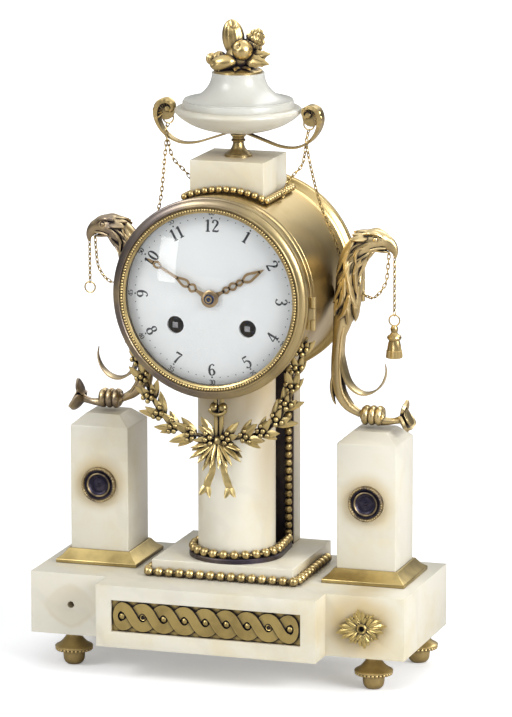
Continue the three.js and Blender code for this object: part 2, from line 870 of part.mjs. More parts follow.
// Spherical cap of even thickness, from its centre out to the rim
function frontGlass() {
  const ball = (glassRadius ** 2 + glassRise ** 2) / (2 * glassRise);
  const steps = 4;
  const face = Array.from({ length: steps + 1 }, (_, step) => {
    const reach = (glassRadius * step) / steps;
    const rise = Math.sqrt(ball ** 2 - reach ** 2) - (ball - glassRise);
    return [reach, glassSeat - rise];
  });
  const behind = face.map(([reach, depth]) => [reach, depth + glassThickness]).reverse();
  return spun([...face, ...behind], drumFacets - 8);
}

piece(bench, "front_bezel", "gilt", frontBezel(), 0, 0, drumAxis);
piece(bench, "sight_ring", "gilt", sightRing(), 0, 0, drumAxis);
piece(bench, "front_glass", "glass", frontGlass(), 0, 0, drumAxis);

// Rear door, a turned brass lid on the rear pin

function rearDoor() {
  const face = drumBack + seatGap;
  const back = face + rearDoorThickness;
  const dish = rearDoorRadius - 9;
  const lid = spun([
    [0, face + 1], [dish, face + 1], [dish + 3, face], [rearDoorRadius, face],
    [rearDoorRadius, back - 1], [rearDoorRadius - 1.2, back], [dish, back - 0.8], [0, back - 0.8],
  ], drumFacets);
  const leafFront = face + 0.2;
  return join(lid, hingeOnDoor(rearHingeX, drumBack, leafFront, leafFront + hingeLeafThickness, drumRadius));
}

piece(bench, "rear_door", "brass", rearDoor(), 0, 0, drumAxis);

// Enamel dial on its copper feet

const dialCentre = drumFront + dialSetback - dialRise;

function dialDepth(reach) {
  return dialCentre + dialRise * (reach / dialRadius) ** 2;
}

function enamelDial() {
  const reaches = [dialHoleRadius, dialRadius * 0.6, dialRadius];
  const face = reaches.map((reach) => [reach, dialDepth(reach)]);
  const behind = face.map(([reach, depth]) => [reach, depth + dialThickness]).reverse();
  const disc = spun([...face, ...behind, face[0]], drumFacets);
  const holes = [-1, 1].map((side) => {
    const holeBack = drumFront + dialSetback + dialThickness + 1;
    const hole = rod(windingHoleRadius, dialCentre - 1, holeBack, smallFacets);
    return hole.translate(side * windingSpread, 0, -windingDrop);
  });
  const feet = [90, 210, 330].map((angle) => {
    const start = dialDepth(dialFootCircle) + dialThickness / 2;
    const end = movementFront - plateThickness;
    const x = dialFootCircle * Math.cos(radians(angle));
    const z = dialFootCircle * Math.sin(radians(angle));
    return rod(dialFootRadius, start, end, pivotFacets).translate(x, 0, z);
  });
  return join(cut(disc, ...holes), ...feet);
}

piece(bench, "dial", "enamel", enamelDial(), 0, 0, drumAxis);

// Movement: depths run back from the rear face of its front plate

const movement = new THREE.Group();
movement.position.set(0, movementFront, drumAxis);
bench.add(movement);

const backPlateFront = plateSpacing;
const backPlateBack = plateSpacing + plateThickness;

// Where two circles about given centres cross, on the chosen side of the line between them
function crossing(first, firstReach, second, secondReach, side) {
  const line = second.clone().sub(first);
  const apart = line.length();
  const along = (apart ** 2 + firstReach ** 2 - secondReach ** 2) / (2 * apart);
  const beside = side * Math.sqrt(firstReach ** 2 - along ** 2);
  const unit = line.divideScalar(apart);
  const across = new THREE.Vector2(unit.y, -unit.x).multiplyScalar(beside);
  return first.clone().addScaledVector(unit, along).add(across);
}

function centresFor(module, first, second) {
  return (module * (first + second)) / 2;
}

const dialAxis = new THREE.Vector2(0, 0);
const goingAxis = new THREE.Vector2(windingSpread, -windingDrop);
const strikeAxis = new THREE.Vector2(-windingSpread, -windingDrop);
const intermediateAxis = crossing(
  goingAxis, centresFor(greatModule, wheelTeeth, pinionLeaves),
  dialAxis, centresFor(intermediateModule, wheelTeeth, pinionLeaves), 1,
);
const thirdReach = centresFor(centreModule, wheelTeeth, pinionLeaves);
const thirdTurn = radians(thirdWheelAngle);
const thirdAxis = new THREE.Vector2(thirdReach * Math.cos(thirdTurn), thirdReach * Math.sin(thirdTurn));
const escapeReach = centresFor(thirdModule, wheelTeeth, pinionLeaves);
const escapeAxis = new THREE.Vector2(0, thirdAxis.y + Math.sqrt(escapeReach ** 2 - thirdAxis.x ** 2));
const palletAxis = new THREE.Vector2(0, escapeAxis.y + palletCentres);
const motionTurn = radians(motionAngle);
const minuteWheelAxis = new THREE.Vector2(
  motionCentres * Math.cos(motionTurn), motionCentres * Math.sin(motionTurn),
);
const hammerAxis = new THREE.Vector2(hammerOffset, -hammerDrop);

// Tooth forms as shares of the module and of the tooth pitch
const wheelForm = { addendum: 0.85, dedendum: 1.2, tip: 0.16, root: 0.56 };
const pinionForm = { addendum: 0.6, dedendum: 1.3, tip: 0.18, root: 0.42 };

function gear(teeth, module, form, start) {
  const pitchRadius = (module * teeth) / 2;
  const tip = pitchRadius + form.addendum * module;
  const root = pitchRadius - form.dedendum * module;
  const half = halfTurn / teeth;
  const corners = [[root, -form.root], [tip, -form.tip], [tip, form.tip], [root, form.root]];
  return outline(Array.from({ length: teeth }, (_, tooth) => {
    const middle = start + (tooth / teeth) * fullTurn;
    return corners.map(([reach, share]) => {
      const angle = middle + half * share;
      return [reach * Math.cos(angle), reach * Math.sin(angle)];
    });
  }).flat());
}

// The start angle that sets a gear's gap against its neighbour's tooth
function meshStart(fromAxis, fromTeeth, fromStart, toAxis, toTeeth) {
  const line = toAxis.clone().sub(fromAxis);
  const facing = Math.atan2(line.y, line.x);
  const share = ((facing - fromStart) * fromTeeth) / fullTurn;
  return facing + halfTurn - ((0.5 - share) * fullTurn) / toTeeth;
}

const greatStart = 0;
const intermediateStart = meshStart(goingAxis, wheelTeeth, greatStart, intermediateAxis, pinionLeaves);
const centreStart = meshStart(intermediateAxis, wheelTeeth, intermediateStart, dialAxis, pinionLeaves);
const thirdStart = meshStart(dialAxis, wheelTeeth, centreStart, thirdAxis, pinionLeaves);
const escapeStart = meshStart(thirdAxis, wheelTeeth, thirdStart, escapeAxis, pinionLeaves);
const minuteWheelStart = meshStart(dialAxis, cannonTeeth, 0, minuteWheelAxis, minuteWheelTeeth);
const hourWheelStart = meshStart(
  minuteWheelAxis, minutePinionLeaves, minuteWheelStart, dialAxis, hourWheelTeeth,
);

// Arbor with a pivot in each plate
function arbor() {
  const tip = plateThickness * 0.8;
  return spun([
    [0, -tip], [pivotRadius, -tip], [pivotRadius, runningGap], [arborRadius, runningGap],
    [arborRadius, plateSpacing - runningGap], [pivotRadius, plateSpacing - runningGap],
    [pivotRadius, plateSpacing + tip], [0, plateSpacing + tip],
  ], arborFacets);
}

function pinionAt(depth, thickness, module, start) {
  const middle = depth + thickness / 2;
  const leaves = gear(pinionLeaves, module, pinionForm, start);
  return slab(leaves, middle - pinionLength / 2, middle + pinionLength / 2);
}

function wheelAt(depth, thickness, module, start) {
  return slab(gear(wheelTeeth, module, wheelForm, start), depth, depth + thickness);
}

function plateShape(pivots) {
  const shape = outline(roundPairs(plateRadius, drumFacets - 4));
  pivots.forEach(([axis, radius]) => pierce(shape, radius, pivotFacets, axis.x, axis.y));
  return shape;
}

const pillarAxes = [90, 165, 270, 15].map((angle) => {
  return new THREE.Vector2(pillarCircle * Math.cos(radians(angle)), pillarCircle * Math.sin(radians(angle)));
});
const pivotHole = pivotRadius + runningGap;
const windingPivot = windingArborRadius - 0.6;
const windingHole = windingPivot + runningGap;

function frontPlate() {
  const trainPivots = [intermediateAxis, thirdAxis, escapeAxis, palletAxis, minuteWheelAxis];
  return slab(plateShape([
    [dialAxis, arborRadius + runningGap], [goingAxis, windingHole], [strikeAxis, windingHole],
    ...trainPivots.map((axis) => [axis, pivotHole]),
    ...pillarAxes.map((axis) => [axis, pillarPinRadius + runningGap]),
  ]), -plateThickness, 0);
}

// The pillars are riveted into the back plate, and their pins pass through the front plate
function backPlate() {
  const trainPivots = [dialAxis, intermediateAxis, thirdAxis, escapeAxis, hammerAxis];
  const plate = slab(plateShape([
    [palletAxis, arborRadius + runningGap], [goingAxis, windingHole], [strikeAxis, windingHole],
    ...trainPivots.map((axis) => [axis, pivotHole]),
  ]), backPlateFront, backPlateBack);
  const pillars = pillarAxes.map((axis) => spun([
    [0, -pillarPinLength], [pillarPinRadius, -pillarPinLength], [pillarPinRadius, 0], [pillarRadius, 0],
    [pillarRadius, backPlateFront + 1], [0, backPlateFront + 1],
  ], arborFacets).translate(axis.x, 0, axis.y));
  return join(plate, ...pillars);
}

piece(movement, "front_plate", "brass", frontPlate());
piece(movement, "back_plate", "brass", backPlate());

// Barrels and winding arbors

const barrelBack = greatWheelDepth + greatWheelThickness + barrelLength;

function barrel() {
  const teeth = wheelAt(greatWheelDepth, greatWheelThickness, greatModule, greatStart);
  const drum = rod(barrelRadius, greatWheelDepth + greatWheelThickness / 2, barrelBack, turnedFacets);
  const bore = rod(windingArborRadius + runningGap, 0, plateSpacing, smallFacets);
  return cut(join(teeth, drum), bore);
}

// Square for the key in front, then the ratchet, the shaft and its rear pivot
function windingArbor() {
  const collar = windingArborRadius;
  const shaft = spun([
    [0, -plateThickness - 2.6], [collar, -plateThickness - 2.6], [collar, -plateThickness - runningGap],
    [windingPivot, -plateThickness - runningGap], [windingPivot, runningGap], [collar, runningGap],
    [collar, backPlateFront - runningGap], [windingPivot, backPlateFront - runningGap],
    [windingPivot, backPlateBack], [0, backPlateBack],
  ], smallFacets);
  const side = windingSquare / 2;
  const square = box(-side, side, -movementSetback - 0.5, -plateThickness - 1, -side, side);
  const ratchet = outline(Array.from({ length: ratchetTeeth }, (_, tooth) => {
    const angle = (tooth / ratchetTeeth) * fullTurn;
    const reaches = [ratchetRadius, ratchetRadius - 1.2];
    return reaches.map((reach) => [reach * Math.cos(angle), reach * Math.sin(angle)]);
  }).flat().filter((pair, index, all) => {
    const before = all[(index + all.length - 1) % all.length];
    return Math.hypot(pair[0] - before[0], pair[1] - before[1]) > 0.1;
  }));
  const front = -plateThickness - 0.5 - ratchetThickness;
  return join(shaft, square, slab(ratchet, front, front + ratchetThickness));
}

[["going", goingAxis], ["strike", strikeAxis]].forEach(([train, axis]) => {
  piece(movement, `${train}_barrel`, "brass", barrel(), axis.x, 0, axis.y);
  piece(movement, `${train}_arbor`, "steel", windingArbor(), axis.x, 0, axis.y);
});

// Going train

function trainWheel(wheelDepth, wheelModule, pinionDepth, pinionThickness, pinionModule, start) {
  return join(
    arbor(),
    wheelAt(wheelDepth, wheelThickness, wheelModule, start),
    pinionAt(pinionDepth, pinionThickness, pinionModule, start),
  );
}

function intermediateWheel() {
  return trainWheel(
    intermediateWheelDepth, intermediateModule, greatWheelDepth, greatWheelThickness, greatModule,
    intermediateStart,
  );
}

// The centre arbor runs on through the front plate and carries the cannon pinion
function centreWheel() {
  const front = rod(arborRadius, -movementSetback, plateSpacing / 2, pivotFacets);
  const rear = spun([
    [0, 1], [arborRadius, 1], [arborRadius, plateSpacing - runningGap],
    [pivotRadius, plateSpacing - runningGap], [pivotRadius, backPlateBack], [0, backPlateBack],
  ], pivotFacets);
  return join(
    front, rear,
    wheelAt(centreWheelDepth, wheelThickness, centreModule, centreStart),
    pinionAt(intermediateWheelDepth, wheelThickness, intermediateModule, centreStart),
  );
}

function thirdWheel() {
  return trainWheel(thirdWheelDepth, thirdModule, centreWheelDepth, wheelThickness, centreModule, thirdStart);
}

function escapeWheel() {
  const root = escapeRadius - escapeToothHeight;
  const pitch = fullTurn / escapeTeeth;
  const rim = outline(Array.from({ length: escapeTeeth }, (_, tooth) => {
    const angle = tooth * pitch;
    return [[root, 0], [root, 0.5], [escapeRadius, 0.9]].map(([reach, share]) => {
      const at = angle + share * pitch;
      return [reach * Math.cos(at), reach * Math.sin(at)];
    });
  }).flat());
  return join(
    arbor(),
    slab(rim, escapeWheelDepth, escapeWheelDepth + wheelThickness),
    pinionAt(thirdWheelDepth, wheelThickness, thirdModule, escapeStart),
  );
}

piece(
  movement, "intermediate_wheel", "brass", intermediateWheel(),
  intermediateAxis.x, 0, intermediateAxis.y,
);
piece(movement, "centre_wheel", "brass", centreWheel());
piece(movement, "third_wheel", "brass", thirdWheel(), thirdAxis.x, 0, thirdAxis.y);
piece(movement, "escape_wheel", "brass", escapeWheel(), escapeAxis.x, 0, escapeAxis.y);

// Pallets on their arbor, with the crutch that reaches back to the pendulum

const pendulumDepth = pendulumSetback - movementFront;
const cockBack = backPlateBack + cockReach;
const cockFront = cockBack - cockThickness;
const crutchDepth = backPlateBack + 3;
const pegSeat = 0.4;
const palletShaftEnd = cockBack - pegSeat - runningGap;

function pallets() {
  const span = radians(palletSpan / 2);
  const reach = escapeRadius + palletClearance;
  const tipX = reach * Math.sin(span);
  const tipZ = reach * Math.cos(span) - palletCentres;
  const arms = outline([
    [0, 2.6], [2.2, 2], [tipX + 1.8, tipZ + 1.6], [tipX + 1.4, tipZ - 0.3], [tipX, tipZ],
    [tipX - 1, tipZ + 1.5], [0, -1.8],
    [-tipX + 1, tipZ + 1.5], [-tipX, tipZ], [-tipX - 1.4, tipZ - 0.3], [-tipX - 1.8, tipZ + 1.6], [-2.2, 2],
  ]);
  const middle = escapeWheelDepth + wheelThickness / 2;
  const shaft = spun([
    [0, -plateThickness * 0.8], [pivotRadius, -plateThickness * 0.8], [pivotRadius, runningGap],
    [arborRadius, runningGap], [arborRadius, cockFront - runningGap], [pivotRadius, cockFront - runningGap],
    [pivotRadius, palletShaftEnd], [0, palletShaftEnd],
  ], pivotFacets);
  const arm = box(-0.8, 0.8, crutchDepth, crutchDepth + 1.2, -crutchLength, 0);
  const reachBack = pendulumDepth + crutchPinReach;
  const gate = pendulumRodRadius + runningGap;
  const footTop = -crutchLength + 1.6;
  const foot = box(-gate - 1.2, gate + 1.2, crutchDepth, pendulumDepth - gate, -crutchLength, footTop);
  const prongs = [-1, 1].map((side) => {
    const near = side < 0 ? -gate - 1.2 : gate;
    return box(near, near + 1.2, pendulumDepth - gate - 1, reachBack, -crutchLength, -crutchLength + 1.6);
  });
  const blade = slab(arms, middle - palletThickness / 2, middle + palletThickness / 2);
  return join(shaft, blade, arm, foot, ...prongs);
}

// Bridge behind the back plate: rear pivot of the pallets, and the peg that the pendulum hangs on
function suspensionCock() {
  const half = cockWidth / 2;
  const low = -cockHeight / 2;
  const high = cockHeight / 2;
  const bridge = outline([[-half, low], [half, low], [half, high], [-half, high]]);
  pierce(bridge, pivotHole, pivotFacets, 0, 0);
  const feet = [-1, 1].map((side) => {
    const near = side < 0 ? -half : half - 2.5;
    return box(near, near + 2.5, backPlateBack, cockBack - 0.5, low, high);
  });
  const pegRise = cockHeight / 2 - 1;
  const hanger = box(-2, 2, cockFront, cockBack, pegRise, high + 1);
  return join(slab(bridge, cockFront, cockBack), hanger, ...feet);
}

const pegRadius = 1;
const eyeBore = pegRadius + runningGap;

const pendulumLength = palletAxis.y + drumRadius + pendulumDrop;

function pendulum() {
  const half = pendulumThickness / 2;
  const eye = outline(roundPairs(pendulumEyeRadius, smallFacets));
  pierce(eye, eyeBore, pivotFacets, 0, 0);
  const shaft = post(pendulumRodRadius, -pendulumLength, -pendulumEyeRadius + 0.6, pivotFacets);
  const bob = spun([
    [0, -pendulumBobThickness / 2], [pendulumBobRadius * 0.5, -pendulumBobThickness * 0.44],
    [pendulumBobRadius * 0.85, -pendulumBobThickness * 0.25], [pendulumBobRadius, 0],
    [pendulumBobRadius * 0.85, pendulumBobThickness * 0.25],
    [pendulumBobRadius * 0.5, pendulumBobThickness * 0.44], [0, pendulumBobThickness / 2],
  ], turnedFacets);
  return join(slab(eye, -half, half), shaft, bob.translate(0, 0, -pendulumLength));
}

const hangingPeg = rod(pegRadius, cockBack - pegSeat, pendulumDepth + 3, pivotFacets);
const cockWithPeg = join(suspensionCock(), hangingPeg);
piece(movement, "pallets", "steel", pallets(), palletAxis.x, 0, palletAxis.y);
piece(movement, "suspension_cock", "brass", cockWithPeg, palletAxis.x, 0, palletAxis.y);
piece(movement, "pendulum", "brass", pendulum(), palletAxis.x, pendulumDepth, palletAxis.y);

// Bell on its stand, and the hammer beside it

const bellFront = bellSetback - movementFront;
const bellBack = bellFront + bellDepth;

const bellCrown = 4;

// A shallow bowl, flat at its crown where the stand meets it
function bell() {
  const steps = 4;
  const dome = (reach, depth, back) => Array.from({ length: steps + 1 }, (_, step) => {
    const angle = (step / steps) * (halfTurn / 2);
    return [bellCrown + (reach - bellCrown) * Math.sin(angle), back - depth * (1 - Math.cos(angle))];
  });
  const outside = dome(bellRadius, bellDepth, bellBack);
  const inside = dome(bellRadius - bellWall, bellDepth - bellWall, bellBack - bellWall).reverse();
  return spun([[0, bellBack], ...outside, ...inside, [0, bellBack - bellWall]], turnedFacets - 4);
}

function bellStand() {
  const armBack = bellFront - 0.5;
  const upright = rod(bellStandRadius, backPlateBack, armBack, pivotFacets).translate(-bellStandOffset, 0, 0);
  const arm = box(-bellStandOffset, bellStandRadius, armBack - 2, armBack, -bellStandRadius, bellStandRadius);
  const centre = rod(bellStandRadius, armBack - 1, bellBack - bellWall, pivotFacets);
  return join(upright, arm, centre);
}

function hammer() {
  const tip = plateThickness * 0.8;
  const rise = hammerDrop;
  const depth = bellFront + 2;
  const x = bellRadius + hammerClearance + hammerHeadRadius - hammerOffset;
  const shaft = spun([
    [0, backPlateBack - tip], [pivotRadius, backPlateBack - tip], [pivotRadius, backPlateBack + runningGap],
    [arborRadius, backPlateBack + runningGap], [arborRadius, depth + 1.2], [0, depth + 1.2],
  ], pivotFacets);
  const arm = limb([[0, 0, 0.8, 0.7], [x * 0.5, rise * 0.5, 0.8, 0.7], [x, rise, 0.8, 0.7]], 4);
  const head = rod(hammerHeadRadius, -hammerHeadLength / 2, hammerHeadLength / 2, smallFacets);
  head.translate(x, 0, rise);
  return join(shaft, arm.translate(0, depth, 0), head.translate(0, depth, 0));
}

piece(movement, "bell", "brass", bell());
piece(movement, "bell_stand", "steel", bellStand());
piece(movement, "hammer", "steel", hammer(), hammerAxis.x, 0, hammerAxis.y);

// Motion work and hands

const hourHandBack = dialCentre - movementFront - handSpacing;
const hourHandFront = hourHandBack - handThickness;
const minuteHandBack = hourHandFront - handSpacing;
const minuteHandFront = minuteHandBack - handThickness;
const cannonModule = (2 * motionCentres) / (cannonTeeth + minuteWheelTeeth);
const hourModule = (2 * motionCentres) / (minutePinionLeaves + hourWheelTeeth);
const hourWheelFront = -hourWheelDepth - wheelThickness;
const minuteWheelFront = -minuteWheelDepth - wheelThickness;

// A pipe through the middle of a wheel, with a round bore
function pipe(radius, bore, fromY, toY) {
  const ring = outline(roundPairs(radius, smallFacets));
  pierce(ring, bore, smallFacets, 0, 0);
  return slab(ring, fromY, toY);
}

function cannonPinion() {
  const bore = rod(cannonBore, -2 * movementSetback, plateSpacing, smallFacets);
  const form = gear(cannonTeeth, cannonModule, pinionForm, 0);
  const leaves = slab(form, minuteWheelFront - 1, -minuteWheelDepth + 1);
  const sleeve = pipe(cannonPipeRadius, cannonBore, minuteHandFront - 1.2, -plateThickness - 1);
  return join(cut(leaves, bore), sleeve);
}

function hourWheel() {
  const bore = rod(hourBore, -2 * movementSetback, plateSpacing, smallFacets);
  const form = gear(hourWheelTeeth, hourModule, wheelForm, hourWheelStart);
  const teeth = slab(form, hourWheelFront, -hourWheelDepth);
  const sleeve = pipe(hourPipeRadius, hourBore, hourHandFront - 0.2, -hourWheelDepth + 1.5);
  return join(cut(teeth, bore), sleeve);
}

function minuteWheel() {
  const teeth = gear(minuteWheelTeeth, cannonModule, wheelForm, minuteWheelStart);
  const leaves = gear(minutePinionLeaves, hourModule, pinionForm, minuteWheelStart);
  const stud = spun([
    [0, hourWheelFront - 1.6], [arborRadius, hourWheelFront - 1.6],
    [arborRadius, -plateThickness - runningGap], [pivotRadius, -plateThickness - runningGap],
    [pivotRadius, -0.2], [0, -0.2],
  ], pivotFacets);
  return join(
    stud,
    slab(teeth, minuteWheelFront, -minuteWheelDepth),
    slab(leaves, hourWheelFront - 1, -hourWheelDepth + 1),
  );
}

// Pierced hand lying along +Z: a round boss, a ribbed stalk and an open leaf before the tip
function hand(length, bore, leafFrom, leafTo, leafWidth) {
  const half = leafWidth / 2;
  const middle = (leafFrom + leafTo) / 2;
  const sides = [
    [1.7, handBossRadius * 0.9], [1, handBossRadius + 3], [1.9, leafFrom - 5], [0.9, leafFrom - 1.5],
    [half, middle], [0.9, leafTo], [0.45, length - 2], [0.15, length],
  ];
  const blade = outline([...sides, ...sides.map(([x, z]) => [-x, z]).reverse()]);
  blade.holes.push(new THREE.Path(pointsOf([
    [0, leafFrom + 1], [half - 0.9, middle], [0, leafTo - 1], [0.9 - half, middle],
  ])));
  const boss = outline(roundPairs(handBossRadius, turnedFacets));
  const whole = join(slab(blade, 0, handThickness), slab(boss, 0, handThickness));
  return cut(whole, rod(bore, -1, handThickness + 1, smallFacets));
}

// The minute hand carries the domed nut that closes its pipe
function minuteHand() {
  const nut = spun([
    [cannonPipeRadius + runningGap, -handNutThickness], [handNutRadius, -handNutThickness],
    [handNutRadius + 0.4, 0.2], [cannonPipeRadius + runningGap, 0.2],
    [cannonPipeRadius + runningGap, -handNutThickness],
  ], smallFacets);
  return join(hand(minuteHandLength, cannonPipeRadius + runningGap, 31, 41, 4.4), nut);
}

function setHand(mesh, clockwise) {
  mesh.rotation.y = radians(clockwise);
}

piece(movement, "cannon_pinion", "steel", cannonPinion());
piece(movement, "hour_wheel", "brass", hourWheel());
piece(movement, "minute_wheel", "brass", minuteWheel(), minuteWheelAxis.x, 0, minuteWheelAxis.y);
setHand(piece(movement, "minute_hand", "gilt", minuteHand(), 0, minuteHandFront, 0), minuteHandAngle);
const hourHandShape = hand(hourHandLength, hourPipeRadius + runningGap, 25, 36, 5);
setHand(piece(movement, "hour_hand", "gilt", hourHandShape, 0, hourHandFront, 0), hourHandAngle);

// Marble block on the drum, its beading and the urn

function urnBlock() {
  const half = blockWidth / 2;
  return cut(box(-half, half, -blockFront, blockBack, drumAxis + drumRadius * 0.6, blockTop), drumSpace());
}

function saddleBeading() {
  const x = blockWidth / 2 + saddleBeadRadius + seatGap;
  const front = -blockFront - saddleBeadRadius - seatGap;
  const back = blockBack + saddleBeadRadius + seatGap;
  const ride = drumRadius + seatGap + saddleBeadRadius;
  const sweep = Math.asin(x / ride);
  const across = Math.round((2 * sweep * ride) / saddleBeadPitch);
  const arc = (y, sign) => Array.from({ length: across }, (_, step) => {
    const angle = sign * (-sweep + (2 * sweep * step) / across);
    return new THREE.Vector3(ride * Math.sin(angle), y, drumAxis + ride * Math.cos(angle));
  });
  const height = drumAxis + ride * Math.cos(sweep);
  const edge = (side, from, to) => spaced(
    new THREE.Vector3(side * x, from, height), new THREE.Vector3(side * x, to, height), saddleBeadPitch,
  );
  return beads(
    [...arc(front, 1), ...edge(1, front, back), ...arc(back, -1), ...edge(-1, back, front)],
    saddleBeadRadius, true,
  );
}

function urnStem() {
  const knop = stemHeight * 0.72;
  return turned([
    [0, 0], [stemFootRadius, 0], [stemFootRadius, 1.4], [stemFootRadius * 0.7, 2.4],
    [stemWaistRadius + 0.8, stemHeight * 0.36], [stemWaistRadius, knop - 1.5], [stemTopRadius - 0.6, knop],
    [stemWaistRadius + 0.4, knop + 1.2], [stemTopRadius, stemHeight - 0.6],
    [stemTopRadius, stemHeight], [0, stemHeight],
  ], turnedFacets);
}

function urnBowl() {
  const shoulder = bowlHeight - 2;
  return turned([
    [0, 0], [bowlFootRadius, 0], [bowlRadius * 0.47, 1.5], [bowlRadius * 0.7, 4.4], [bowlRadius * 0.87, 8.2],
    [bowlRadius * 0.97, 11.6], [bowlRadius, shoulder - 0.4], [bowlRadius - 0.8, shoulder + 0.6],
    [lidRadius + 0.6, bowlHeight], [0, bowlHeight],
  ], drumFacets - 8);
}

// Straight band, then a hollow curve up to the neck
function urnLid() {
  const steps = 5;
  const reach = lidRadius - 0.8 - lidNeckRadius;
  const rise = lidHeight - lidBand - 0.8;
  const hollow = Array.from({ length: steps + 1 }, (_, step) => {
    const angle = (step / steps) * (halfTurn / 2);
    return [lidNeckRadius + reach * (1 - Math.sin(angle)), lidBand + 0.8 + rise * (1 - Math.cos(angle))];
  });
  return turned([[0, 0], [lidRadius, 0], [lidRadius, lidBand], ...hollow, [0, lidHeight]], drumFacets - 8);
}

// Fruit, pods and leaves on a round foot: centres and radii as shares of the finial's height
function fruitFinial() {
  const tall = finialHeight;
  const fruit = (radii, centre, lean) => {
    return ellipsoid(radii.map((share) => share * tall), centre.map((share) => share * tall), lean);
  };
  return join(
    turned([[0, 0], [finialFootRadius, 0], [finialFootRadius * 0.8, 2.4], [0, 3.2]], smallFacets),
    fruit([0.34, 0.26, 0.24], [0, 0, 0.26], 0),
    fruit([0.2, 0.15, 0.36], [-0.1, 0.02, 0.64], -9),
    fruit([0.19, 0.19, 0.19], [0.13, -0.16, 0.44], 0),
    fruit([0.2, 0.07, 0.28], [0.28, 0.06, 0.57], 24),
    fruit([0.19, 0.15, 0.15], [-0.44, 0.02, 0.22], 0),
    fruit([0.26, 0.16, 0.16], [-0.2, -0.28, 0.19], 10),
    fruit([0.25, 0.12, 0.12], [0.46, -0.02, 0.27], -12),
    fruit([0.27, 0.16, 0.09], [0.16, -0.3, 0.12], 0),
    fruit([0.2, 0.18, 0.2], [-0.04, 0.26, 0.24], 0),
  );
}

// Half of the handle strip from the stem out to the scroll: X and the height over its seat
function handleHalf() {
  const span = handleSpan;
  const dip = -handleDip;
  const rise = handleScrollRise;
  return [
    [6, 0], [span * 0.33, dip * 0.55], [span * 0.52, dip * 0.97],
    [span * 0.7, dip], [span * 0.86, dip * 0.45],
    [span * 0.955, rise * 0.16], [span, rise * 0.52], [span * 0.965, rise * 0.85], [span * 0.87, rise],
    [span * 0.79, rise * 0.88], [span * 0.772, rise * 0.7], [span * 0.815, rise * 0.6],
  ];
}

function urnHandle() {
  const steps = 22;
  const route = handleHalf().map(([x, z]) => new THREE.Vector3(x, 0, z));
  const right = new THREE.CatmullRomCurve3(route).getPoints(steps);
  const left = right.map((point) => new THREE.Vector3(-point.x, 0, point.z)).reverse();
  const centres = [...left, ...right];
  const rings = centres.map((centre, index) => {
    const direction = directionAt(centres, index, false);
    const above = new THREE.Vector3().crossVectors(direction, backward).multiplyScalar(handleThickness / 2);
    const beside = backward.clone().multiplyScalar(handleWidth / 2);
    return [[1, 1], [1, -1], [-1, -1], [-1, 1]].map(([up, out]) => {
      return centre.clone().addScaledVector(above, up).addScaledVector(beside, out);
    });
  });
  return skin(rings, false);
}

piece(bench, "urn_block", "marble", urnBlock());
piece(bench, "saddle_beading", "gilt", saddleBeading());
piece(bench, "urn_stem", "gilt", urnStem(), 0, -urnForward, blockTop);
piece(bench, "urn_handle", "gilt", urnHandle(), 0, -urnForward, stemTop + handleThickness / 2);
piece(bench, "urn_bowl", "marble", urnBowl(), 0, -urnForward, bowlFoot);
piece(bench, "urn_lid", "marble", urnLid(), 0, -urnForward, lidFoot);
piece(bench, "fruit_finial", "gilt", fruitFinial(), 0, -urnForward, lidTop);

// Eagle supports: rows from the claw on the pedestal up to the beak, drawn for the right side

const clawX = pedestalX - 1.4;
const clawZ = pedestalTop + seatGap + clawRadius;

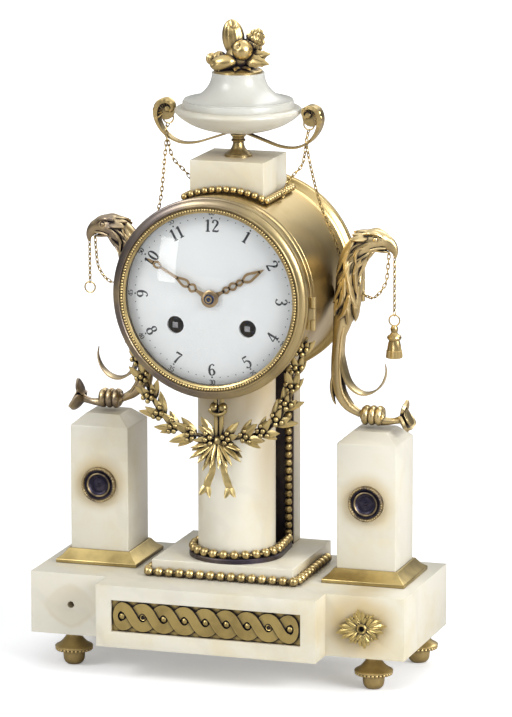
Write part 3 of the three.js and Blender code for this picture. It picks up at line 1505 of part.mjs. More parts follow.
function eagle() {
  const flank = drumRadius;
  const thick = eagleThickness;
  const leg = (share) => clawZ + share * (drumAxis - clawZ);
  const body = limb([
    [clawX - 8, clawZ + 0.6, 2.2, 2.4], [clawX - 16.6, clawZ + 5.6, 3, 3.2],
    [flank + 3.8, clawZ + 13.6, 3.6, 4],
    [flank + 2, leg(0.29), 4.4, 4.6], [flank + 2.3, leg(0.44), 4.8, 5],
    [flank + 3.2, leg(0.59), 4.2, 5], [flank + 4.2, leg(0.7), 4, 5.2],
    [flank + 6.3, drumAxis - 15.5, 7.6, thick * 0.86], [flank + 7.6, drumAxis - 7.5, 9, thick * 0.95],
    [flank + 8.6, drumAxis + 2.5, 9.6, thick], [flank + 10, drumAxis + 12.5, 9.8, thick],
    [flank + 13.5, drumAxis + 22.5, 9.6, thick * 0.95], [flank + 20, drumAxis + 30, 8.8, thick * 0.88],
    [flank + 27.5, drumAxis + 32, 7.6, thick * 0.78], [flank + 34, drumAxis + 30.5, 5, thick * 0.52],
    [flank + 39.5, drumAxis + 28, 3.2, thick * 0.31], [flank + 42.3, drumAxis + 24.1, 1.2, 1.1],
  ]);
  const crest = limb([
    [flank + 22, drumAxis + 35, 3.6, 4], [flank + 15, drumAxis + 36, 2.6, 3],
    [flank + 10, drumAxis + 36.5, 0.6, 0.8],
  ], 6);
  const curl = limb([
    [flank + 4.5, leg(0.52), 3, 3.6], [flank + 6.4, leg(0.37), 2.4, 4.2], [flank + 11, leg(0.24), 1.8, 4],
    [flank + 18.5, leg(0.175), 1.5, 3.4], [flank + 26, leg(0.19), 1.3, 2.7],
    [flank + 32, leg(0.265), 1.1, 1.9], [flank + 34.2, leg(0.37), 0.7, 0.9],
  ], 6);
  const drop = limb([
    [flank + 1, leg(0.345), 2.6, 3], [flank - 0.8, leg(0.21), 2, 2.6], [flank + 0.8, leg(0.08), 0.7, 0.9],
  ], 6);
  const claw = ellipsoid([clawRadius * 1.1, clawRadius, clawRadius], [clawX, 0, clawZ], 0, 10, 8);
  const shaftZ = clawZ - 3.4;
  const shaft = limb([
    [clawX + 4, shaftZ, 2.6, 2.6], [clawX + 12, shaftZ + 0.4, 2.2, 2.2], [clawX + 18, shaftZ + 2.2, 3, 3],
    [clawX + 22.5, shaftZ + 4.2, flareRadius * 0.6, flareRadius * 0.6],
    [clawX + 24.4, shaftZ + 4.8, flareRadius, flareRadius],
    [clawX + 26, shaftZ + 5.5, flareRadius * 0.7, flareRadius * 0.7],
  ]);
  return cut(join(body, crest, curl, drop, claw, shaft), drumSpace());
}

piece(bench, "eagle_right", "gilt", eagle());
piece(bench, "eagle_left", "gilt", eagle().scale(-1, 1, 1));

// Laurel garland hung under the drum, with its ribbon bow: X and the height over the bow, for the right side

const garlandSide = [
  [0.02, 0.004], [0.267, 0.053], [0.5, 0.137], [0.683, 0.333], [0.8, 0.617], [0.875, 0.917], [0.942, 1.133],
].map(([x, z]) => [x * drumRadius, z * drumRadius]);

// Leaf in the garland's plane: a flat lozenge from its stalk to its tip
function laurelLeaf(x, z, angle, length, lean) {
  const turn = radians(angle);
  const along = new THREE.Vector3(Math.cos(turn), -lean, Math.sin(turn)).normalize();
  const reference = new THREE.Vector3(0, 1, 0);
  const rows = [[0, 0.3], [0.5, 1], [1, 0.1]];
  const rings = rows.map(([share, width]) => {
    const centre = new THREE.Vector3(x, 0, z).addScaledVector(along, share * length);
    return ringAround(centre, along, reference, (width * garlandLeafWidth) / 2, 0.25 + width * 0.45, 4);
  });
  return skin(rings, false);
}

// Thick and thin along the swag, where the leaves and berries crowd together
function garlandArm(side) {
  const route = garlandSide.map(([x, z]) => new THREE.Vector3(side * x, 0, z));
  const curve = new THREE.CatmullRomCurve3(route);
  const bunches = 5;
  const rings = Array.from({ length: 2 * bunches + 1 }, (_, index) => {
    const share = index / (2 * bunches);
    const thick = garlandStem * (index % 2 === 0 ? 0.8 : 2);
    return ringAround(curve.getPointAt(share), curve.getTangentAt(share), backward, thick, thick * 0.8, 5);
  });
  const leaves = Array.from({ length: bunches }, (_, index) => {
    const share = 0.06 + (0.9 * index) / bunches;
    const at = curve.getPointAt(share);
    const ahead = curve.getTangentAt(share);
    const heading = THREE.MathUtils.radToDeg(Math.atan2(ahead.z, ahead.x));
    return [-40, 40].map((spread) => laurelLeaf(at.x, at.z, heading + spread, garlandLeafLength, 0.2));
  });
  return [skin(rings, false), ...leaves.flat()];
}

// Two loops and two tails of ribbon at the knot, under a pair of stalks that hang from the drum
function ribbonBow() {
  const knot = ellipsoid([3.4, 3, 3.4], [0, -1, 0]);
  const ribbons = [-1, 1].flatMap((side) => [
    limb([
      [side * 1, 0, 1.2, 1.2], [side * 8, -7, 1.6, 2.6],
      [side * 13, -13, 2.2, 2.6], [side * 9, -18, 1.4, 2.4],
    ], 5),
    limb([[side * 1, -1, 1.2, 1.2], [side * 5, -18, 1.8, 1.8], [side * 8, -ribbonDrop, 2.4, 1]], 5),
    strand([[side * 1.4, 0, 0], [side * 2.6, 0, garlandDrop - drumRadius + 6]], 1, 1),
    ellipsoid([2.6, 2.2, 2.2], [side * 3, 0, 20.8], 0, 5, 4),
  ]);
  return [knot, ...ribbons];
}

function garland() {
  const bowZ = drumAxis - garlandDrop;
  const whole = join(...garlandArm(-1), ...garlandArm(1), ...ribbonBow());
  return cut(whole.translate(0, -garlandForward, bowZ), drumSpace());
}

piece(bench, "laurel_garland", "gilt", garland());

// Chains: from a ring in the handle's scroll to the saddle, and round the eagle's neck to its beak

const ringX = handleSpan * 0.85;
const ringZ = stemTop + handleScrollRise * 0.62 - seatGap - chainRingRadius - chainRingWire;
const beakX = drumRadius + 39.2;
const beakZ = drumAxis + 23.7;

function linkRing(x, y, z) {
  const ring = new THREE.TorusGeometry(chainRingRadius, chainRingWire, 4, smallFacets);
  return ring.rotateX(halfTurn / 2).translate(x, y, z);
}

function sideChain() {
  const y = -urnForward;
  const front = y - handleWidth / 2 - chainRadius - 2 * seatGap;
  const start = ringZ - chainRingRadius;
  const saddleX = blockWidth / 2 + 2 * saddleBeadRadius + seatGap + chainRadius - 0.4;
  const saddleZ = drumAxis + Math.sqrt((drumRadius + saddleBeadRadius) ** 2 - saddleX ** 2);
  const toSaddle = strand([
    [ringX, y, start], [ringX, front, start - 3.5], [ringX - 1, front, start - 10],
    [ringX - 4, y - 2, start - 22], [saddleX + 3, y, saddleZ + 10], [saddleX, y, saddleZ],
  ], chainRadius, 10, 4);
  const flank = drumRadius;
  const toBeak = strand([
    [ringX, y, start], [ringX, front, start - 3.5], [ringX, front, start - 10],
    [ringX + 2, y - 2, start - 24], [flank - 8, y + 4, drumAxis + 50],
    [flank - 1.5, y + 10, drumAxis + 30], [flank + 4, y + 15.5, drumAxis + 10],
    [flank + 14, y + 15, drumAxis - 3], [flank + 22, y + 9, drumAxis - 6.5],
    [flank + 28, y + 5, drumAxis - 4], [flank + 33.5, y + 4.3, drumAxis + 4],
    [beakX - 4.2, y + 4.3, beakZ - 9], [beakX - 3.4, y + 4.3, beakZ + 1.7],
  ], chainRadius, 24, 4);
  return join(linkRing(ringX, y, ringZ), toSaddle, toBeak);
}

piece(bench, "chain_right", "gilt", sideChain());
piece(bench, "chain_left", "gilt", sideChain().scale(-1, 1, 1));

// Pendants from the beaks: the right one keeps its tassel, the left one ends in a bare ring

function pendantRight() {
  const top = -pendantLength + chainRingRadius;
  const low = -pendantLength - chainRingRadius;
  const line = strand([[0, 0, 0], [0, 0, top / 2], [0, 0, top]], chainRadius, 4);
  const tassel = turned([
    [0, low - tasselLength], [tasselRadius, low - tasselLength], [tasselRadius, low - tasselLength + 1.4],
    [tasselRadius * 0.62, low - tasselLength * 0.42], [tasselRadius * 0.95, low - tasselLength * 0.36],
    [tasselRadius * 0.9, low - tasselLength * 0.28], [tasselRadius * 0.4, low - tasselLength * 0.2],
    [tasselRadius * 0.5, low - 1], [tasselRadius * 0.4, low + 0.3], [0, low + 0.3],
  ], smallFacets);
  return join(line, linkRing(0, 0, -pendantLength), tassel);
}

function pendantLeft() {
  const line = strand([[0, 0, 0], [0, 0, -strayEndLength / 2], [0, 0, -strayEndLength]], chainRadius, 4);
  return join(line, linkRing(0, 0, -strayEndLength - chainRingRadius + 0.3));
}

piece(bench, "pendant_right", "gilt", pendantRight(), beakX, 0, beakZ);
piece(bench, "pendant_left", "gilt", pendantLeft(), -beakX, 0, beakZ);

export default clock;
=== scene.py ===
import math

import bmesh
import bpy
from mathutils import Matrix, Vector


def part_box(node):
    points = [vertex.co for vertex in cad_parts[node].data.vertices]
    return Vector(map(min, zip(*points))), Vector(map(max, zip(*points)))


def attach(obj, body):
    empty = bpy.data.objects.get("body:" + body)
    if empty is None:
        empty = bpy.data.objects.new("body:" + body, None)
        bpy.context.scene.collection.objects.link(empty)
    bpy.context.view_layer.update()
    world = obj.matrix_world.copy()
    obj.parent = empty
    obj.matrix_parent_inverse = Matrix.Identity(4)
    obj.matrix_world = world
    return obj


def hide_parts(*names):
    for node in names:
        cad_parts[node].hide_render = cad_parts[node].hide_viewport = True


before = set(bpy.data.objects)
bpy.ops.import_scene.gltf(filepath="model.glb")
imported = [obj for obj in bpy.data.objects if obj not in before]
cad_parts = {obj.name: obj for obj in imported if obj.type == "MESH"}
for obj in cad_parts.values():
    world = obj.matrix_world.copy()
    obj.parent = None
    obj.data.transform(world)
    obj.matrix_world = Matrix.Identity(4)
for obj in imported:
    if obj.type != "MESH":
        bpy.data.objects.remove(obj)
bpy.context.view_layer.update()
scene = bpy.context.scene
scene.view_settings.view_transform = "Standard"


# Studio
# A pale floor, soft lamps and the camera where the photograph was taken from.
# None of it belongs to the clock.
class Tone:
    """A value that runs through a finish; sums on it become Math nodes."""

    def __init__(self, paint, socket):
        self.paint = paint
        self.socket = socket

    def sum(self, operation, left, right):
        return self.paint.node("ShaderNodeMath", {"operation": operation}, {0: left, 1: right})

    def __add__(self, other):
        return self.sum("ADD", self, other)

    __radd__ = __add__

    def __sub__(self, other):
        return self.sum("SUBTRACT", self, other)

    def __rsub__(self, other):
        return self.sum("SUBTRACT", other, self)

    def __mul__(self, other):
        return self.sum("MULTIPLY", self, other)

    __rmul__ = __mul__

    def __pow__(self, other):
        return self.sum("POWER", self, other)

    def __abs__(self):
        return self.paint.node("ShaderNodeMath", {"operation": "ABSOLUTE"}, {0: self})

    def most(self, other):
        return self.sum("MAXIMUM", self, other)

    def reach(self, other):
        return (self ** 2 + other ** 2) ** 0.5

    def out(self, name):
        return Tone(self.paint, self.socket.node.outputs[name])

    def eased(self, low, high):
        sockets = {"Value": self, "From Min": low, "From Max": high}
        return self.paint.node("ShaderNodeMapRange", {"interpolation_type": "SMOOTHSTEP"}, sockets)


class Paint:
    """The nodes of one finish. Its colours have three parts."""

    def __init__(self, tree):
        self.tree = tree

    def fill(self, node, sockets):
        for name, value in sockets.items():
            socket = node.inputs[name]
            if isinstance(value, Tone):
                self.tree.links.new(value.socket, socket)
            else:
                socket.default_value = (*value, 1) if socket.type == "RGBA" else value

    def node(self, kind, settings, sockets, out=0):
        made = self.tree.nodes.new(kind)
        for name, value in settings.items():
            setattr(made, name, value)
        self.fill(made, sockets)
        return Tone(self, made.outputs[out])

    def mix(self, share, first, second):
        return self.node("ShaderNodeMix", {"data_type": "RGBA"}, {0: share, 6: first, 7: second}, 2)

    def place(self):
        return self.node("ShaderNodeTexCoord", {}, {}, "Object")

    def axes(self, place):
        x = self.node("ShaderNodeSeparateXYZ", {}, {0: place}, "X")
        return x, x.out("Y"), x.out("Z")

    def noise(self, place, scale, detail, roughness):
        sockets = {"Vector": place, "Scale": scale, "Detail": detail, "Roughness": roughness}
        return self.node("ShaderNodeTexNoise", {}, sockets)

    def openness(self, distance, samples, **settings):
        """How open the space round a point is: 1 in the open and 0 in a deep hollow."""
        settings["samples"] = samples
        return self.node("ShaderNodeAmbientOcclusion", settings, {"Distance": distance}, "AO")

    def bump(self, strength, distance, height):
        sockets = {"Strength": strength, "Distance": distance, "Height": height}
        return self.node("ShaderNodeBump", {}, sockets)


camera_data = bpy.data.cameras.new("camera")
camera_data.lens = 250
camera_data.sensor_width = 36
camera_data.shift_x = -0.0393
camera_data.shift_y = -0.0175
camera_data.clip_end = 100
camera = bpy.data.objects.new("camera", camera_data)
camera.location = (0.9375, -2.8681, 0.8185)
camera.rotation_euler = Vector((0.2948, -0.9345, 0.1994)).to_track_quat("Z", "Y").to_euler()
scene.collection.objects.link(camera)
scene.camera = camera

world = bpy.data.worlds.new("studio")
world.use_nodes = True
scene.world = world
sky = Paint(world.node_tree)
rays = sky.node("ShaderNodeLightPath", {}, {}, "Is Camera Ray")
direct = rays.most(rays.out("Is Transmission Ray"))
mirrored = rays.out("Is Glossy Ray") * (1 - direct)
sky_rise = sky.axes(sky.node("ShaderNodeTexCoord", {}, {}, "Generated"))[2]
sky_light = 0.41
horizon_light = 0.08
overhead_light = 1.1
mirror_light = horizon_light + overhead_light * sky_rise.eased(0.0, 0.75)
strength = sky_light + direct * (1 - sky_light) + mirrored * (mirror_light - sky_light)
sky.fill(world.node_tree.nodes["Background"], {"Color": (1, 1, 1), "Strength": strength})

lamp_target = Vector((0, 0, 0.2))


def lamp(name, place, wide, tall, power):
    light = bpy.data.lights.new(name, "AREA")
    light.shape = "RECTANGLE"
    light.size = wide
    light.size_y = tall
    light.energy = power
    lit = bpy.data.objects.new(name, light)
    lit.location = place
    lit.rotation_euler = (Vector(place) - lamp_target).to_track_quat("Z", "Y").to_euler()
    scene.collection.objects.link(lit)


lamp("key_lamp", (-1.4, -1.7, 1.9), 0.9, 0.9, 29)
lamp("side_lamp", (2.0, -0.9, 1.1), 1.2, 1.2, 53)
lamp("back_lamp", (0.4, 1.6, 1.8), 1.4, 1.4, 16)
lamp("window_lamp", (-0.95, -1.35, 0.38), 0.24, 0.5, 1.8)


def new_finish(name):
    material = bpy.data.materials.new(name)
    material.use_nodes = True
    return material, Paint(material.node_tree), material.node_tree.nodes["Principled BSDF"]


def pattern(form, name="pattern"):
    """Keeps a form as a mesh, which can be set many times."""
    mesh = bpy.data.meshes.new(name)
    form.to_mesh(mesh)
    form.free()
    return mesh


floor_finish, floor_paint, floor_surface = new_finish("studio_floor")
floor_rays = floor_paint.node("ShaderNodeLightPath", {}, {}, "Is Camera Ray")
away = floor_paint.node("ShaderNodeVectorMath", {"operation": "LENGTH"}, {0: floor_paint.place()}, "Value")
near_glow = 0.27
far_glow = 0.6
glow = floor_rays * (near_glow + far_glow * away.eased(0.35, 2.2))
floor_pale = (0.85, 0.86, 0.885)
floor_mirrored = (0.56, 0.53, 0.51)
floor_paint.fill(floor_surface, {
    "Base Color": floor_paint.mix(floor_rays.out("Is Glossy Ray"), floor_pale, floor_mirrored),
    "Roughness": 0.9,
    "Emission Color": floor_paint.node("ShaderNodeCombineColor", {}, {0: glow, 1: glow, 2: glow}),
    "Emission Strength": 1.0,
})
form = bmesh.new()
bmesh.ops.create_grid(form, x_segments=1, y_segments=1, size=20)
floor = bpy.data.objects.new("studio_floor", pattern(form))
floor.data.materials.append(floor_finish)
scene.collection.objects.link(floor)


# Marble base
# One sawn and polished slab of warm white marble with a stepped front.
# A pocket is cut in its front for the panel, and the mounts are pinned into drilled holes.
def room(node):
    """A CAD node's box in millimetres."""
    low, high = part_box(node)
    return low * 1000, high * 1000


def middle_of(node):
    low, high = room(node)
    return (low + high) / 2


def shown(form, name, node, finish, body="case", crease=35):
    """Makes a piece in metres from a form in millimetres, in place of its CAD node."""
    bmesh.ops.recalc_face_normals(form, faces=form.faces)
    bmesh.ops.scale(form, vec=(0.001, 0.001, 0.001), verts=form.verts)
    mesh = pattern(form, name)
    mesh.shade_smooth()
    mesh.set_sharp_from_angle(angle=math.radians(crease))
    mesh.materials.append(finish)
    piece = bpy.data.objects.new(name, mesh)
    scene.collection.objects.link(piece)
    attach(piece, body)
    if node:
        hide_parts(node)


def worn(node, name, offset, finish):
    """Shows a CAD node with its edges worn round."""
    form = bmesh.new()
    form.from_mesh(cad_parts[node].data)
    bmesh.ops.scale(form, vec=(1000, 1000, 1000), verts=form.verts)
    bmesh.ops.remove_doubles(form, verts=form.verts, dist=0.002)
    bmesh.ops.dissolve_limit(form, angle_limit=math.radians(1), verts=form.verts, edges=form.edges)
    turn = math.radians(28)
    sharp = [edge for edge in form.edges if len(edge.link_faces) == 2 and edge.calc_face_angle() > turn]
    bmesh.ops.bevel(form, geom=sharp, offset=offset, offset_type="OFFSET", segments=3, profile=0.5,
                    affect="EDGES", material=-1, clamp_overlap=True)
    shown(form, name, node, finish)


drum_radius = 60.0
drum_z = middle_of("dial").z
medal_spot = middle_of("medallion_right") * 0.001
rosette_spot = middle_of("base_rosette") * 0.001
stain_brown = (0.50, 0.37, 0.16)
# A warm brown for the painted shade, painted shadow and grime on the marble.
grime_and_shade_brown = (0.36, 0.25, 0.10)
vein_grey = (0.50, 0.47, 0.41)


def marble_finish(name, pale, warm):
    """Warm white marble, stained round its mounts and where a lost rosette sat, with painted shade and grime
    in its corners, painted shade and stain on the column's sides and painted shadow and stain under the
    drum.
    """
    material, paint, surface = new_finish(name)
    place = paint.place()
    cloud = paint.noise(place, 11, 4, 0.55)
    grain = paint.noise(place, 55, 6, 0.65)
    x, y, height = paint.axes(place)
    side = abs(x)
    front = (0.008 - y).eased(0, 0.006)
    at_medal = (side - medal_spot.x).reach(height - (medal_spot.z + 0.0009))
    at_rosette = (x - (rosette_spot.x - 0.002)).reach(height - (rosette_spot.z + 0.0017))
    halo = (0.021 - at_medal).eased(0, 0.011).most((0.027 - at_rosette).eased(0, 0.014))
    ghost = (abs(x + rosette_spot.x) * 57) ** 1.4 + (abs(height - rosette_spot.z) * 74) ** 1.4
    ghost = ghost + (grain - 0.5) * 0.6
    rim = (0.3 - abs(ghost - 0.95)).eased(0, 0.3) * (0.046 - height).eased(0, 0.012)
    ghost = ((1.15 - ghost).eased(0, 0.35) * 0.42).most(rim * 0.75) * (0 - x).eased(0.04, 0.05)
    patchy = 0.4 + 0.6 * cloud.eased(0.3, 0.62)
    stain = halo.most(ghost) * front * patchy
    # Painted shadow of the drum, with some brown stain, on the marble just below it.
    below = x.reach(height - drum_z * 0.001) - drum_radius * 0.001
    below = (0.046 - below).eased(0, 0.046) * (0.2 - height).eased(0, 0.02)
    # Painted shade, with some brown stain, down the rounded sides of the column.
    shaft = (side - 0.011).eased(0, 0.014) * (0.03 - side).eased(0, 0.003)
    shaft = shaft * (height - 0.072).eased(0, 0.08) * (0.2 - height).eased(0, 0.01)
    # Painted shade, with some grime, browns the marble in its corners and where other pieces stand close.
    corners = (1 - paint.openness(0.032, 10)).eased(0.36, 0.92)
    # The painted shade, the painted shadow and the grime join into one mask.
    grime_and_shade = (corners * patchy).most(below * 0.9).most(shaft * 0.75)
    vein = paint.node("ShaderNodeTexWave", {"bands_direction": "DIAGONAL"}, {
        "Vector": place, "Scale": 9, "Distortion": 9, "Detail": 4, "Detail Scale": 1.6})
    colour = paint.mix((cloud * 0.6 + grain * 0.4).eased(0.44, 0.66), pale, warm)
    colour = paint.mix(stain * 0.75, colour, stain_brown)
    colour = paint.mix(grime_and_shade * 0.85, colour, grime_and_shade_brown)
    colour = paint.mix(vein.eased(0.86, 1) * 0.16, colour, vein_grey)
    paint.fill(surface, {"Base Color": colour, "Roughness": 0.26 + grain * 0.16, "Coat Weight": 0.15,
                         "Coat Roughness": 0.12})
    return material


marble = marble_finish("marble", (0.67, 0.64, 0.54), (0.645, 0.58, 0.415))
worn("base_slab", "polished_base", 0.7, marble)


# Four turned feet
# Gilt bronze feet, each a cup under a spreading rim with a row of beads, cast and turned.
# A stud at the top screws up into the slab.
def bronze_finish(name, bright, dull, dark=(0.03, 0.023, 0.03), depth=0.006, rubbed=0.46, shade_and_patina=0.9):
    """Gilding rubbed bright on the edges, with dark patina in its hollows and painted shade with patina
    where other pieces stand close.
    """
    material, paint, surface = new_finish(name)
    place = paint.place()
    cloud = paint.noise(place, 45, 4, 0.6)
    grain = paint.noise(place, 900, 3, 0.6)
    near = paint.openness(depth, 10, only_local=True)
    # Painted shade, with some patina, where other pieces stand close; the last argument sets how dark.
    wide = paint.openness(0.03, 10)
    edge = paint.openness(0.0012, 8, only_local=True, inside=True)
    blotch = (cloud - 0.5) * 0.4
    hollow = 1 - (near + blotch).eased(rubbed, rubbed + 0.42)
    # The painted shade near other pieces joins the patina in the hollows.
    hollow = hollow.most((1 - (wide + blotch).eased(0.14, 0.55)) * shade_and_patina)
    polished = [min(1, part * 1.35) for part in bright]
    gilding = paint.mix(cloud.eased(0.36, 0.66), bright, dull)
    gilding = paint.mix((1 - edge).eased(0.25, 0.7) * 0.5, gilding, polished)
    paint.fill(surface, {
        "Base Color": paint.mix(hollow, gilding, dark),
        "Metallic": 1.0 - hollow * 0.35,
        "Roughness": 0.24 + cloud * 0.14 + hollow * 0.22,
        "Normal": paint.bump(0.2, 0.0002, grain),
    })
    return material


def arc(middle_x, middle_y, radius, start, end, steps):
    turns = [math.radians(start + (end - start) * step / steps) for step in range(steps + 1)]
    return [(middle_x + radius * math.cos(turn), middle_y + radius * math.sin(turn)) for turn in turns]


def turned(outline, centre, axis=(0, 0, 1), out=(0, -1, 0), steps=64, closed=False):
    """Spins an outline of (radius, height) points about an axis."""
    form = bmesh.new()
    middle = Vector(centre)
    spots = [middle + Vector(out) * radius + Vector(axis) * height for radius, height in outline]
    points = [form.verts.new(spot) for spot in spots]
    lines = [form.edges.new(pair) for pair in zip(points, points[1:])]
    if closed:
        lines.append(form.edges.new((points[-1], points[0])))
    bmesh.ops.spin(form, geom=points + lines, cent=middle, axis=Vector(axis), dvec=(0, 0, 0),
                   angle=math.tau, steps=steps, use_merge=True)
    bmesh.ops.remove_doubles(form, verts=form.verts, dist=0.0005)
    bmesh.ops.recalc_face_normals(form, faces=form.faces)
    return form


def set_in(form, mesh, places):
    """Sets a copy of a pattern at each place."""
    for place in places:
        copy = mesh.copy()
        copy.transform(place)
        form.from_mesh(copy)
        bpy.data.meshes.remove(copy)


def join(form, *others):
    for other in others:
        mesh = pattern(other)
        form.from_mesh(mesh)
        bpy.data.meshes.remove(mesh)
    return form


def bead(radius, rings=8):
    form = bmesh.new()
    bmesh.ops.create_uvsphere(form, u_segments=rings + 4, v_segments=rings, radius=radius)
    return pattern(form)


def round_places(count, radius, middle, axis):
    """Places evenly round a ring, each with its own x pointing outwards."""
    turn = Vector((0, 0, 1)).rotation_difference(Vector(axis)).to_matrix().to_4x4()
    base = Matrix.Translation(middle) @ turn
    angles = [math.tau * step / count for step in range(count)]
    return [base @ Matrix.Rotation(angle, 4, "Z") @ Matrix.Translation((radius, 0, 0)) for angle in angles]


gilt = bronze_finish("gilt_bronze", (0.64, 0.49, 0.225), (0.40, 0.30, 0.135))
foot_gilt = bronze_finish("foot_gilt", (0.70, 0.54, 0.24), (0.46, 0.345, 0.15), rubbed=0.40, shade_and_patina=0.45)
foot_outline = [
    (0, 0), (3.4, 0), (4.6, 0.35), (5.8, 1.5), (6.5, 3), (6.8, 5.4), (6.9, 8.3), (7.3, 8.8), (9, 9.8),
    (11.2, 10.5), (11.9, 11), (12, 11.7), (11.5, 12.2), (10.2, 12.8), (8.6, 13.9), (7, 15.5), (5.5, 17.4),
    (4.6, 18.9), (4.4, 20.4), (4.9, 20.9), (5, 22), (0, 22),
]
foot_bead = bead(1.2, 6)
foot_beads = 28
foot_bead_ring = 10.7
foot_bead_rise = Vector((0, 0, 10.1))
for foot in ("foot_front_left", "foot_front_right", "foot_rear_left", "foot_rear_right"):
    middle = middle_of(foot)
    middle.z = 0
    form = turned(foot_outline, middle, steps=56)
    set_in(form, foot_bead, round_places(foot_beads, foot_bead_ring, middle + foot_bead_rise, (0, 0, 1)))
    shown(form, "turned_" + foot, foot, foot_gilt)


# Guilloche panel
# A cast gilt strip let into the front of the slab: two bands weave round a line of domed studs.
# It lies in its pocket a little below the marble face.
def framed(place, along, across, wide=1.0, deep=1.0):
    """A section's frame: x is across, y is the other way, z runs along."""
    ahead = Vector(along).normalized()
    side = (Vector(across) - ahead * ahead.dot(Vector(across))).normalized()
    lift = ahead.cross(side)
    turn = Matrix((side * wide, lift * deep, ahead)).transposed().to_4x4()
    return Matrix.Translation(place) @ turn


def ahead_at(line, step):
    """Which way a line of points runs at one of them."""
    return line[min(step + 1, len(line) - 1)] - line[max(step - 1, 0)]


def swept(section, frames):
    """Carries a closed section along its frames and caps both ends."""
    form = bmesh.new()
    loop = [form.verts.new(frames[0] @ Vector((x, y, 0))) for x, y in section]
    rim = [form.edges.new(pair) for pair in zip(loop, loop[1:] + loop[:1])]
    form.faces.new(loop)
    for here, there in zip(frames, frames[1:]):
        grown = bmesh.ops.extrude_edge_only(form, edges=rim)["geom"]
        corners = {item for item in grown if isinstance(item, bmesh.types.BMVert)}
        edges = [item for item in grown if isinstance(item, bmesh.types.BMEdge)]
        rim = [edge for edge in edges if set(edge.verts) <= corners]
        bmesh.ops.transform(form, matrix=there @ here.inverted(), verts=list(corners))
    bmesh.ops.edgeloop_fill(form, edges=rim)
    bmesh.ops.recalc_face_normals(form, faces=form.faces)
    return form


def block(low, high):
    form = bmesh.new()
    bmesh.ops.create_cube(form, size=1)
    bmesh.ops.scale(form, vec=Vector(high) - Vector(low), verts=form.verts)
    bmesh.ops.translate(form, vec=(Vector(high) + Vector(low)) / 2, verts=form.verts)
    return form


panel_low, panel_high = room("guilloche_panel")
panel_middle = (panel_low.z + panel_high.z) / 2
panel_face = panel_low.y
band_y = panel_face + 1.5
stud_y = panel_face + 1.75
stud_pitch = 13.56
studs_each_side = 4
screw_stud = 3
last_stud = studs_each_side * stud_pitch
band_rise = 5.85
band_weave = 0.6
band_end = 4.2
band_steps = 144
end_steps = 8
form = block((panel_low.x, panel_face + 2, panel_low.z), panel_high)
front = [face for face in form.faces if face.normal.y < -0.9]
bmesh.ops.inset_region(form, faces=front, thickness=0.5, depth=-0.5)
half_band = [(0, 0.5), (2.25, 0.5), (2.4, 0.8), (2.8, 0.8), (3.05, 0.5), (3.05, -0.7)]
band = [(-across, lift) for across, lift in reversed(half_band)] + half_band[1:]
for strand in (1, -1):
    line = []
    for step in range(band_steps + 1):
        x = last_stud * (2 * step / band_steps - 1)
        swing = math.pi * x / stud_pitch
        rise = band_rise * (math.cos(swing) - 0.05 * math.cos(3 * swing)) / 0.95
        line.append(Vector((x, band_y - band_weave * strand * math.sin(swing), strand * rise, 1)))
    for step in range(1, end_steps + 1):
        bend = math.pi / 2 * step / end_steps
        x = last_stud + band_end * math.sin(bend)
        row = (band_y, strand * band_rise * math.cos(bend), 1 - 0.5 * math.sin(bend))
        line.append(Vector((x, *row)))
        line.insert(0, Vector((-x, *row)))
    frames = []
    for step, (x, y, z, wide) in enumerate(line):
        ahead = ahead_at(line, step)
        frames.append(framed((x, y, panel_middle + z), (ahead.x, 0, ahead.z), (ahead.z, 0, -ahead.x), wide))
    join(form, swept(band, frames))
dome = [(2, -0.6), (2, 0.2), (1.85, 0.75), (1.4, 1.25), (0.75, 1.55), (0, 1.65)]
socket = [(2.1, -0.6), (2.1, 0.5), (1.75, 0.8), (1.3, 0.5), (1.15, -0.4), (0, -0.5)]
for count in range(-studs_each_side, studs_each_side + 1):
    stud = socket if abs(count) == screw_stud else dome
    join(form, turned(stud, (count * stud_pitch, stud_y, panel_middle), (0, -1, 0), (0, 0, 1), 24))
panel_gilt = bronze_finish("panel_gilt", (0.60, 0.465, 0.18), (0.40, 0.305, 0.12), (0.022, 0.018, 0.026),
                           0.0026, 0.6, 0.3)
shown(form, "woven_panel", "guilloche_panel", panel_gilt)


# Leaf rosette
# A cast gilt rosette of lobed leaves round a pierced boss, pinned to the right of the slab's front.
# Its fellow on the left is lost, and only its bare hole is there.
def leaf(length, width, ridge, curl, thick, lobes=0):
    """A leaf from the origin along y, with its face towards z."""
    form = bmesh.new()
    bmesh.ops.create_grid(form, x_segments=6, y_segments=12, size=1)
    for corner in form.verts:
        across = corner.co.x
        along = (corner.co.y + 1) / 2
        half = width / 2 * (0.06 + 0.94 * math.sin(math.pi * along ** 0.72) ** 0.8) * (1 - 0.12 * along)
        if lobes:
            half *= 1 - 0.3 * abs(math.sin(math.pi * lobes * along)) * along ** 0.5
        crown = ridge * (1 - abs(across)) - ridge * 0.5 * (1 if across == 0 else 0)
        lift = crown * math.sin(math.pi * min(along + 0.08, 1)) + curl * along ** 2
        corner.co = (across * half, along * length, lift)
    bmesh.ops.recalc_face_normals(form, faces=form.faces)
    bmesh.ops.solidify(form, geom=form.faces[:], thickness=thick)
    return pattern(form)


def acanthus(length, width):
    """A leaf of five pointed lobes that spring from its foot."""
    form = bmesh.new()
    for spread, share in ((0, 1.0), (19, 0.86), (-19, 0.86), (42, 0.62), (-42, 0.62)):
        lobe = leaf(length * share, width * (0.5 if spread == 0 else 0.42), 1.5, 0.8, 0.7)
        set_in(form, lobe, [Matrix.Rotation(math.radians(spread), 4, "Z") @ Matrix.Rotation(0.12, 4, "X")])
    return pattern(form)


